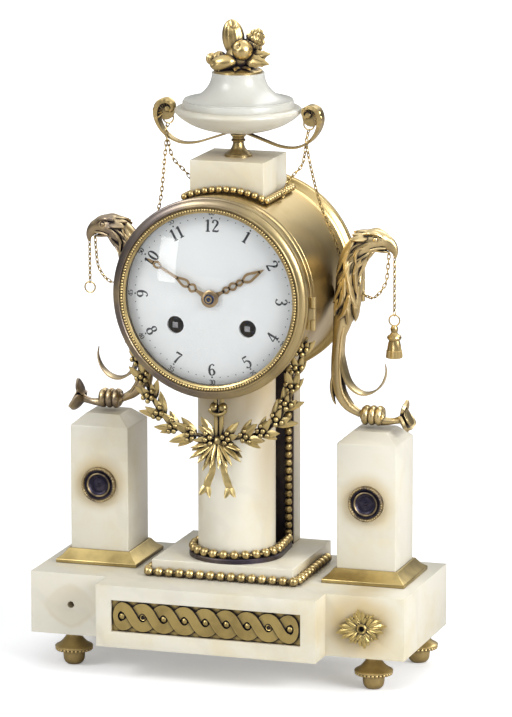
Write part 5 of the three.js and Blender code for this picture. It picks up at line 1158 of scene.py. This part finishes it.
# Urn
# A shallow marble bowl and a hollow-curved marble lid, turned, on a small gilt stem.
# A rod through the block ties them together under the fruit.
stem_low, stem_high = room("urn_stem")
urn_y = (stem_low.y + stem_high.y) / 2
stem = [
    (0, 0), (8.6, 0), (8.6, 1.2), (8.2, 1.7), (7.4, 1.9), (6.8, 2.6), (5.2, 3.8), (4.1, 5.4), (3.5, 7.4),
    (3.3, 8.8), (4.2, 9.2), (4.5, 9.8), (4.2, 10.4), (3.6, 10.8), (3.9, 12), (4.8, 12.8), (5, 13.7),
    (0, 13.7),
]
shown(turned(stem, (0, urn_y, stem_low.z), steps=56), "turned_stem", "urn_stem", gilt)

low, high = room("urn_bowl")
rim = (high.x - low.x) / 2
bowl_marble = marble_finish("bowl_marble", (0.60, 0.585, 0.51), (0.57, 0.525, 0.41))
curve = [(8, 0), (rim * 0.47, 1.5), (rim * 0.7, 4.4), (rim * 0.87, 8.2), (rim * 0.97, 11.6), (rim, 13.2)]
bowl = [(0, 0)] + [tuple(point) for point in smooth_line(curve, 4)]
bowl += [(rim - 0.1, 13.9), (rim - 0.5, 14.6), (rim - 1.2, 15.2), (rim - 2.2, 15.55), (35, 15.6), (0, 15.6)]
shown(turned(bowl, (0, urn_y, low.z), steps=112), "marble_bowl", "urn_bowl", bowl_marble)

low, high = room("urn_lid")
rim = (high.x - low.x) / 2
lid_height = high.z - low.z
lid_marble = marble_finish("lid_marble", (0.545, 0.545, 0.50), (0.53, 0.515, 0.45))
neck_radius = 16.2
lid_step = 4.8
lid_reach = rim - 0.8 - neck_radius
lid = [(0, 0), (rim, 0), (rim, 3.3), (rim - 0.25, 3.8), (rim - 0.8, 4)]
for step in range(17):
    turn = math.radians(90 * step / 16)
    rise = (lid_height - lid_step) * (1 - math.cos(turn))
    lid.append((neck_radius + lid_reach * (1 - math.sin(turn)), lid_step + rise))
lid.append((0, lid_height))
shown(turned(lid, (0, urn_y, low.z), steps=112), "marble_lid", "urn_lid", lid_marble)


# Scrolled handle
# One gilt strip under the bowl whose ends sweep up and widen into shell-like crescents.
# Each end curls into a small volute, from which a chain ring hangs.
def oval(count):
    return [(math.cos(math.tau * step / count), math.sin(math.tau * step / count)) for step in range(count)]


def limb(form, section, y, rows, steps):
    """Adds a section swept along (x, z, wide, deep) rows that lie in one upright plane."""
    rows = [(x, y, z, wide, deep) for x, z, wide, deep in rows]
    join(form, swept(section, route(rows, (0, 1, 0), steps)))


handle_z = stem_high.z + 0.6
volute_x = 45.4
volute_z = handle_z + 13.2
web_x = 47
web_z = handle_z + 11.6
strap = [
    (-1, -0.5), (-0.6, -0.5), (0.6, -0.5), (1, -0.5), (1, 0.35), (0.75, 0.6), (0.3, 0.4), (0, 0.62),
    (-0.3, 0.4), (-0.75, 0.6), (-1, 0.35),
]
half_path = [
    (6, 0, 2.5, 1.1), (17.7, -4.1, 2.4, 1.1), (27.8, -7.2, 2.4, 1.1), (37.5, -7.4, 2.6, 1.2),
    (46, -3.3, 3.2, 1.5), (51.1, 3.1, 3.8, 2.1), (52.9, 10.2, 4.2, 2.8), (51, 16.2, 4.2, 3),
    (46.5, 18.2, 3.8, 2.6), (42.9, 16.4, 3.2, 2.1), (42.2, 13.4, 2.8, 1.7), (44.2, 11.4, 2.4, 1.4),
]
volute = [
    (0, -3.2), (1.4, -3.1), (2, -2.4), (1.7, -1.6), (2.2, 0), (1.7, 1.6), (2, 2.4), (1.4, 3.1),
    (0, 3.2),
]
web = [(0, -1), (5.6, -1), (5.6, 1), (0, 1)]
form = bmesh.new()
for side in (-1, 1):
    limb(form, strap, urn_y, [(side * x, handle_z + z, wide, deep) for x, z, wide, deep in half_path], 6)
    join(form, lathed(volute, (side * volute_x, urn_y, volute_z), 24))
    join(form, lathed(web, (side * web_x, urn_y, web_z), 32))
    for turn in range(-40, 150, 24):
        across = math.cos(math.radians(turn))
        up = math.sin(math.radians(turn))
        ray = [(side * (web_x + reach * across), urn_y - deep, web_z + reach * up, size, size)
               for reach, deep, size in ((2.4, 1, 0.5), (5, 1.6, 0.8), (7.2, 3.6, 0.9))]
        join(form, swept(oval(6), route(ray, (0, 1, 0), 3)))
join(form, block((-6.2, urn_y - 2.5, handle_z - 0.55), (6.2, urn_y + 2.5, handle_z + 0.55)))
shown(form, "scrolled_handle", "urn_handle", gilt)


# Fruit finial
# A cast and chased gilt bunch: a ribbed pod, a poppy head, a cone, an egg, a bud and small leaves.
# It stands on a round foot on the lid.
finial_place = Vector((0, urn_y, room("fruit_finial")[0].z))


def fruit(size, place, lean, ribs=0, depth=0.12, courses=0, dimple=None):
    """A fruit with ribs, courses of scales or a dimple at one spot, leaning sideways."""
    form = bmesh.new()
    bmesh.ops.create_uvsphere(form, u_segments=48, v_segments=28, radius=1)
    for corner in form.verts:
        turn = math.atan2(corner.co.y, corner.co.x)
        rise = math.asin(max(-1, min(1, corner.co.z)))
        cut = 1.0
        if ribs:
            cut -= depth * math.cos(rise) * (0.5 + 0.5 * math.cos(ribs * turn)) ** 2
        if courses:
            cut -= depth * (0.5 + 0.5 * math.cos(2 * courses * rise)) ** 3
        if dimple:
            near = corner.co.normalized().dot(Vector(dimple).normalized())
            cut -= 0.3 * max(0, (near - 0.93) / 0.07)
        corner.co = corner.co * cut
    matrix = Matrix.Translation(finial_place + Vector(place)) @ Matrix.Rotation(math.radians(lean), 4, "Y")
    bmesh.ops.transform(form, matrix=matrix @ Matrix.Diagonal((*size, 1)), verts=form.verts)
    return form


def leaf_place(spot, direction, outward, size=1.0):
    """Sets a leaf at a spot, its length along a direction and its face outwards."""
    along = Vector(direction).normalized()
    face = (Vector(outward) - along * along.dot(Vector(outward))).normalized()
    turn = Matrix((along.cross(face), along, face)).transposed().to_4x4()
    return Matrix.Translation(spot) @ turn @ Matrix.Scale(size, 4)


form = turned([(0, 0), (15, 0), (15, 1.2), (13.6, 2), (10, 2.6), (6, 5), (0, 6)], finial_place, steps=48)
pod = fruit((7.1, 5.6, 11.6), (-3.4, 0.7, 20.8), -7, ribs=9, depth=0.09, dimple=(0.25, -0.5, 0.8))
poppy = fruit((6.4, 6.4, 6.4), (4.3, -5.3, 14.3), 10, dimple=(-0.35, -0.8, 0.5))
cone = fruit((6.6, 3.4, 9.4), (9.6, 2, 18.6), 26, ribs=12, depth=0.17, courses=6)
bud = fruit((4.6, 4.6, 4.6), (-12.2, 0.7, 7.8), 0, ribs=7, depth=0.16)
bud_tip = fruit((3.9, 3.9, 3.9), (-17, 0.2, 7.4), 0, ribs=6, depth=0.2)
egg = fruit((8.6, 5.2, 5), (-7, -8.4, 6.4), -12, dimple=(-0.75, -0.6, 0.2))
rear_bud = fruit((6.4, 6.4, 6.4), (-1.3, 8.2, 8), 0, ribs=9, depth=0.14)
core = fruit((8, 8, 8), (0, 0, 9), 0)
join(form, pod, poppy, cone, bud, bud_tip, egg, rear_bud, core)
toothed = leaf(15, 9.5, 2.0, -1.2, 0.9, 4)
for tilt, out in ((-0.12, -4.6), (0.3, -1.4)):
    spot = finial_place + Vector((6.5, out, 8.6))
    set_in(form, toothed, [leaf_place(spot, (1, -0.1, tilt), (0.1, -1, 0.35))])
small_leaf = leaf(10.5, 6.4, 1.6, -1.5, 0.7, 2)
leaf_rows = [
    (10, 3.4, 8), (-38, 3, 4), (48, 3.2, 10), (-150, 3.2, 8), (150, 3.4, 12), (95, 4, 14),
    (-95, 4, 14),
]
for turn, rise, tilt in leaf_rows:
    around = Matrix.Rotation(math.radians(turn + 180), 4, "Z")
    spot = Matrix.Translation(finial_place + Vector((0, 0, rise))) @ around @ Matrix.Translation((0, 4.4, 0))
    set_in(form, small_leaf, [spot @ Matrix.Rotation(math.radians(tilt), 4, "X")])
shown(form, "fruit_bunch", "fruit_finial", gilt)


# Eagle supports
# Two cast gilt eagles' heads and necks on strap-like legs, clasping the drum from both sides.
# Each leg ends in a claw that grips a short flared shaft on the pedestal.
def ring_wire(reach, thick, count):
    """The round section of a ring of wire."""
    return [(reach + thick * x, thick * y) for x, y in oval(count)]


wing_y = middle_of("pedestal_right").y
claw_x = 85.8
claw_z = 162.9
claw_reach = 4.4
neck = [
    (77.8, 163.5, 2.2, 2.4), (69.6, 168.5, 3.2, 3.4), (64.6, 176.5, 3.8, 4.2), (62.9, 186, 4, 4.6),
    (62.8, 198, 3.8, 5), (63.6, 210, 3.8, 4.8), (65.4, 218.8, 5.4, 5.8), (67.2, 227.2, 6.8, 6.8),
    (68.2, 235.2, 7.2, 7.2), (69, 245.2, 7.2, 7.2), (70.2, 255.2, 7.6, 7.2), (73.7, 264.2, 7.8, 7.2),
    (79.5, 270.4, 7.8, 7.2), (85.5, 273, 7.4, 6.7), (90.5, 273.2, 6.3, 5.6), (93.4, 272.4, 5, 4.2),
    (95.8, 271.2, 4.3, 3.1), (98, 269, 3.3, 2.3), (99.4, 266.2, 2.1, 1.5), (99.8, 262.8, 0.6, 0.5),
]
jaw = [(86.6, 267.6, 3.4, 1.6), (92, 266.8, 2.4, 1.3), (95.6, 266, 0.6, 0.5)]
curl = [
    (64.5, 212, 3, 1.4), (66, 197, 4.6, 2), (70.4, 183, 5, 1.7), (78, 177, 4.6, 1.4), (85.6, 177.8, 4, 1.1),
    (91.4, 183, 2.8, 0.9), (94, 190, 1.5, 0.7), (93.6, 196, 0.4, 0.4),
]
spur = [(62, 193, 3.4, 1.6), (59.6, 181, 3.8, 1.6), (60.2, 172.6, 2, 1), (61.6, 168.6, 0.5, 0.4)]
palm = [(77.8, 163.3, 2.6, 2.6), (81.8, 163.3, 5.2, 5), (88.8, 162.7, 5, 4.8), (92.8, 161.5, 2.6, 2.6)]
shaft = [
    (89.8, 160.2, 3.2, 3.2), (95.8, 160.1, 2.3, 2.3), (99.8, 160.6, 2, 2), (103.8, 161.8, 2.6, 2.6),
    (106.4, 162.8, 4.2, 4.2), (108.2, 163.5, 6, 6), (108.7, 163.7, 5, 5), (106.8, 163, 1.2, 1.2),
]
brow = [
    (81, 6.6, 277.8, 1, 0.9), (86, 6.5, 278.6, 1.5, 1.3), (90.4, 5.2, 277.6, 1.4, 1.2),
    (94, 3.6, 274.8, 0.7, 0.6),
]
cheek = [(94.4, 3, 269, 0.6, 0.5), (90, 4.8, 269, 0.9, 0.8), (85, 6.2, 268, 0.6, 0.5)]
welt = [(x + 2.6, deep * 0.8, z, 0.8, 0.8) for x, z, wide, deep in neck[1:7]]
toe_rows = [(78, 2.4), (40, 2.7), (0, 2.6), (-40, 2.2), (-72, 1.5), (-98, 0.5)]
lock_start = -119
lock_turn = 34
lock_rings = [(34, 2.7), (37, 2.7), (40, 2.6), (43, 2.4), (46, 2.1), (49, 1.8), (52, 1.4)]
eye_spot = (88.4, 5.4, 274.6)
crest_x = 84
crest_z = 278.9
mouth = Vector((105.2, wing_y, 162.4))
mouth_way = Vector((0.94, 0, 0.34))


def lock(frames, first, turn, sway, span, thick):
    """A flame-like lock of feathers that lies down the neck and turns out at its tip."""
    rows = []
    for share, size in ((0, 0.15), (0.28, 0.9), (0.6, 0.95), (0.85, 0.55), (1, 0.1)):
        at = frames[max(0, first - round(span * share))]
        angle = turn + sway * math.sin(share * 4.2)
        reach = 0.92 + 0.34 * share ** 2
        spot = at @ Vector((math.sin(angle) * reach, -math.cos(angle) * reach, 0))
        rows.append((*spot, thick * size, thick * size * 0.8))
    return swept(oval(7), route(rows, (0.2, 1, 0.1), 3))


def eagle():
    frames = route([(x, wing_y, z, deep, wide) for x, z, wide, deep in neck], (0, 1, 0), 4)
    form = swept(oval(20), frames)
    for ring, (first, size) in enumerate(lock_rings):
        for count in range(8):
            turn = math.radians(lock_start + lock_turn * (count + (0.5 if ring % 2 else 0)))
            sway = 0.34 * math.sin(count * 1.9 + ring * 0.7)
            join(form, lock(frames, first, turn, sway, 7 + (count + ring) % 3, size))
    crest = leaf(11, 7, 1.1, -0.6, 1.2)
    for tilt, drop in ((-0.3, -0.02), (0, 0), (0.3, -0.02), (-0.62, -0.16), (0.62, -0.16)):
        spot = Vector((crest_x, wing_y + tilt * 9, crest_z - abs(tilt) * 4))
        set_in(form, crest, [leaf_place(spot, (-1, tilt * 0.5, drop), (0, tilt, 1))])
    for side in (-1, 1):
        eye = Vector((eye_spot[0], wing_y + side * eye_spot[1], eye_spot[2]))
        set_in(form, bead(1.7, 10), [Matrix.Translation(eye)])
        join(form, lathed(ring_wire(2.3, 0.6, 6), eye, 20, closed=True))
        for rows, sides, steps in ((brow, 8, 4), (cheek, 6, 4), (welt, 6, 3)):
            rows = [(x, wing_y + side * out, z, wide, deep) for x, out, z, wide, deep in rows]
            join(form, swept(oval(sides), route(rows, (0, 1, 0), steps)))
        for offset in (-4.3, 0, 4.3):
            toe = []
            for turn, size in toe_rows:
                out = claw_reach * math.cos(math.radians(turn))
                up = claw_reach * math.sin(math.radians(turn))
                toe.append((claw_x + offset, wing_y + side * out, claw_z + up, size, size))
            join(form, swept(oval(10), route(toe, (1, 0, 0), 3)))
    limb(form, oval(10), wing_y, jaw, 4)
    limb(form, strap, wing_y, curl, 5)
    limb(form, oval(10), wing_y, spur, 5)
    limb(form, oval(14), wing_y, palm, 4)
    limb(form, oval(18), wing_y, shaft, 4)
    petal = leaf(10, 12, 2, 3, 1.6)
    for turn in (90, 210, 330):
        out = Vector((0, math.cos(math.radians(turn)), math.sin(math.radians(turn))))
        set_in(form, petal, [leaf_place(mouth + out * 2, (mouth_way + out) * 0.8, out - mouth_way * 0.6)])
    return form


# The left eagle is given a darker, browner gilt than the right eagle.
bright_gilt = bronze_finish("bright_gilt", (0.74, 0.585, 0.31), (0.50, 0.39, 0.20), rubbed=0.44)
darker_left_gilt = bronze_finish("darker_left_gilt", (0.54, 0.42, 0.235), (0.27, 0.215, 0.17), (0.028, 0.021, 0.034),
                             0.008, 0.5)
for side, name, finish in ((1, "right", bright_gilt), (-1, "left", darker_left_gilt)):
    form = eagle()
    bmesh.ops.scale(form, vec=(side, 1, 1), verts=form.verts)
    shown(form, "cast_eagle_" + name, "eagle_" + name, finish, crease=50)


# Laurel garland
# A cast gilt swag of pointed leaves and berries that hangs in front of the column from the drum.
# It is tied in the middle with a ribbon whose loops and forked tails hang down.
garland_y = -29.6
bow_z = drum_z - 91.7
hook_z = bow_z + 21
arm_path = [(3, 0.6), (16, 3.2), (30, 8.2), (41, 20), (48, 37), (52.5, 55), (56.5, 68)]
tail_path = [
    (1, -2, 1.6, 0.6), (3.4, -11, 2.2, 1.8), (3.8, -19, 2, 0.4), (6.4, -26, 2.4, 1.4),
    (7.6, -30, 2, 0.6),
]
stalk = [(1.5, bow_z, 1.5), (1.7, bow_z + 14, 1.6), (2.2, drum_z - drum_radius - 0.4, 1.4)]
ribbon = [
    (-1, 0), (-0.5, 0.5), (0, 0), (0.5, 0.5), (1, 0), (1, 0.6), (0.5, 1.1), (0, 0.6), (-0.5, 1.1),
    (-1, 0.6),
]
knot = [(0, -3), (1.8, -2.7), (3.1, -1.4), (3.4, 0), (3.1, 1.4), (1.8, 2.7), (0, 3)]
leaf_spreads = [(0.95, 0.05), (-0.95, 0.05), (0.38, 0.34), (-0.45, 0.2)]
berry_spots = [(1, 2.2, 4), (1.8, -1.4, 4.4), (4.4, 0.6, 4.6), (4, 4, 3.6), (5.2, -3, 3.4)]
streamer_rows = [(76, 0.85, 0.16), (57, 1, 0.2), (39, 0.9, 0.32), (22, 1, 0.24), (7, 0.85, 0.36)]
laurel = leaf(15.5, 5.2, 1.6, 0.8, 0.7)
streamer = leaf(20, 3.2, 2.0, 1.8, 0.8)
fork = leaf(8, 3.8, 0.9, 1.2, 0.6)
berry = bead(1.65, 8)
forward = Vector((0, -1, 0))
form = bmesh.new()
for side in (-1, 1):
    frames = route([(side * x, garland_y, bow_z + z, 1.3, 1.3) for x, z in arm_path], (0, 1, 0), 5)
    join(form, swept(oval(8), frames))
    line = [place.translation for place in frames]
    for count, spot in enumerate(spaced(line, 11.4)[:-1]):
        nearest = min(range(len(line)), key=lambda step: (line[step] - spot).length)
        ahead = ahead_at(line, nearest).normalized()
        beside = Vector((-ahead.z, 0, ahead.x))
        close = 1 - 0.075 * count
        for spread, lean in leaf_spreads:
            sway = spread * close
            way = ahead + beside * (sway + 0.12 * ((count * 3) % 4 - 1.5)) + forward * lean
            face = forward + beside * sway * 0.4
            size = (0.84 + 0.1 * ((count * 7 + round(spread * 10)) % 4)) * (0.6 + 0.4 * close)
            set_in(form, laurel, [leaf_place(spot + forward * (lean * 2), way, face, size)])
        for along, lift, out in berry_spots:
            set_in(form, berry, [Matrix.Translation(spot + ahead * along + beside * lift + forward * out)])
    limb(form, oval(10), garland_y, [(side * x, z, size, size) for x, z, size in stalk], 4)
    set_in(form, bead(3, 10), [Matrix.Translation((side * 2.9, garland_y - 0.8, hook_z))])
    for turn, size, out in streamer_rows:
        way = (side * math.sin(math.radians(turn)), -out, -math.cos(math.radians(turn)))
        spot = (side * 0.8, garland_y - 1.6, bow_z - 0.6)
        set_in(form, streamer, [leaf_place(spot, way, forward, size)])
    tail = [(side * x, garland_y - 0.8 - out, bow_z + z, size, 0.9) for x, z, size, out in tail_path]
    join(form, swept(ribbon, route(tail, (1, 0, 0), 5)))
    for spread in (-0.5, 0.55):
        spot = (side * 7.2, garland_y - 1.2, bow_z - 28.4)
        set_in(form, fork, [leaf_place(spot, (side * 0.2 + spread, -0.2, -1), forward)])
turns = [step / 2 for step in range(-3, 4)]
crescent = [(5.4 * math.sin(turn), hook_z - 0.6 - 3.6 * math.cos(turn), 1.2, 1.2) for turn in turns]
limb(form, oval(8), garland_y - 2.6, crescent, 3)
join(form, turned(knot, (0, garland_y - 1, bow_z), steps=24))
laurel_gilt = bronze_finish("laurel_gilt", (0.62, 0.49, 0.22), (0.37, 0.285, 0.13), (0.024, 0.019, 0.024),
                            0.008, 0.48)
shown(form, "laurel_swag", "laurel_garland", laurel_gilt, crease=50)


# Chains
# Fine gilt chains of round wire links: each hangs from a ring in the handle's volute to the
# saddle of beads, and loops round the eagle's neck to its beak.
link_form = turned(ring_wire(0.95, 0.32, 6), (0, 0, 0), steps=10, closed=True)
bmesh.ops.rotate(link_form, cent=(0, 0, 0), matrix=facing_front.to_3x3(), verts=link_form.verts)
bmesh.ops.scale(link_form, vec=(1, 1, 2.1), verts=link_form.verts)
link = pattern(link_form)
link_pitch = 3.1
ring_radius = 3.4


def linked(form, points):
    """Hangs links along a smooth line, each turned across the last."""
    spots = spaced(smooth_line(points, 8), link_pitch)
    for count, (here, there) in enumerate(zip(spots, spots[1:])):
        lie = framed((here + there) / 2, there - here, (1, 0, 0.01))
        set_in(form, link, [lie @ Matrix.Rotation(math.radians(90 * (count % 2) + 20), 4, "Z")])


def hung_ring(form, place):
    join(form, lathed(ring_wire(ring_radius, 0.5, 8), place, 28, closed=True))


chain_start = Vector((45.5, 10.1, 340.35))
to_saddle = [
    chain_start, (45.5, 6.2, 336.9), (44.5, 6.2, 330.4), (41.5, 8.1, 318.4), (32, 10.1, 307.8),
    (29, 10.1, 297.8),
]
to_beak = [
    chain_start, (45.5, 6.2, 336.9), (45.5, 6.2, 330.4), (47.5, 8.1, 316.4), (52, 14.1, 292.7),
    (58.5, 20.1, 272.7), (64, 25.6, 252.7), (74, 25.1, 239.7), (82, 19.1, 236.2), (88, 15.1, 238.7),
    (93.5, 14.4, 246.7), (95, 14.4, 257.4), (95.8, 14.4, 268.1),
]
for side, name in ((1, "right"), (-1, "left")):
    form = bmesh.new()
    hung_ring(form, chain_start + Vector((0, 0, ring_radius)))
    linked(form, to_saddle)
    linked(form, to_beak)
    bmesh.ops.scale(form, vec=(side, 1, 1), verts=form.verts)
    shown(form, "linked_chain_" + name, "chain_" + name, gilt)


# Beak pendants
# A length of the same chain hangs from each beak and ends in a ring.
# The right one still has its cast tassel, and the left one has lost it.
def pendant(node, middle, end, ring):
    """A chain from a pendant's pivot, with the depths of its middle, its end and its ring."""
    form = bmesh.new()
    pivot = middle_of(node)
    pivot.z = room(node)[1].z
    linked(form, [pivot - Vector((0, 0, depth)) for depth in (0, middle, end)])
    ring_spot = pivot - Vector((0, 0, ring))
    hung_ring(form, ring_spot)
    return form, ring_spot


tassel = [
    (0, -23.4), (4.7, -23.4), (5, -22.6), (4.7, -19.6), (4.8, -19), (4.3, -18.6), (4, -16), (3.5, -13.6),
    (3.3, -12.4), (4.2, -11.8), (4.6, -10.8), (4.2, -9.6), (2.8, -8.8), (1.9, -7.4), (2.4, -6), (2.4, -4.8),
    (1.5, -3.2), (0, -3),
]
fringe_top = -12.5
fringe_strands = 12
pendant_length = 42.6
chain_end = pendant_length - ring_radius
form, tassel_head = pendant("pendant_right", middle=17, end=chain_end, ring=pendant_length)
hung_tassel = turned(tassel, tassel_head, steps=48)
for corner in hung_tassel.verts:
    spot = corner.co - tassel_head
    if spot.z < fringe_top and math.hypot(spot.x, spot.y) > 1:
        flute = 1 + 0.07 * math.cos(fringe_strands * math.atan2(spot.y, spot.x))
        corner.co = tassel_head + Vector((spot.x * flute, spot.y * flute, spot.z))
join(form, hung_tassel)
shown(form, "tasselled_pendant", "pendant_right", gilt, body="pendant_right")
form = pendant("pendant_left", middle=15, end=30, ring=33.1)[0]
shown(form, "bare_pendant", "pendant_left", gilt, body="pendant_left")
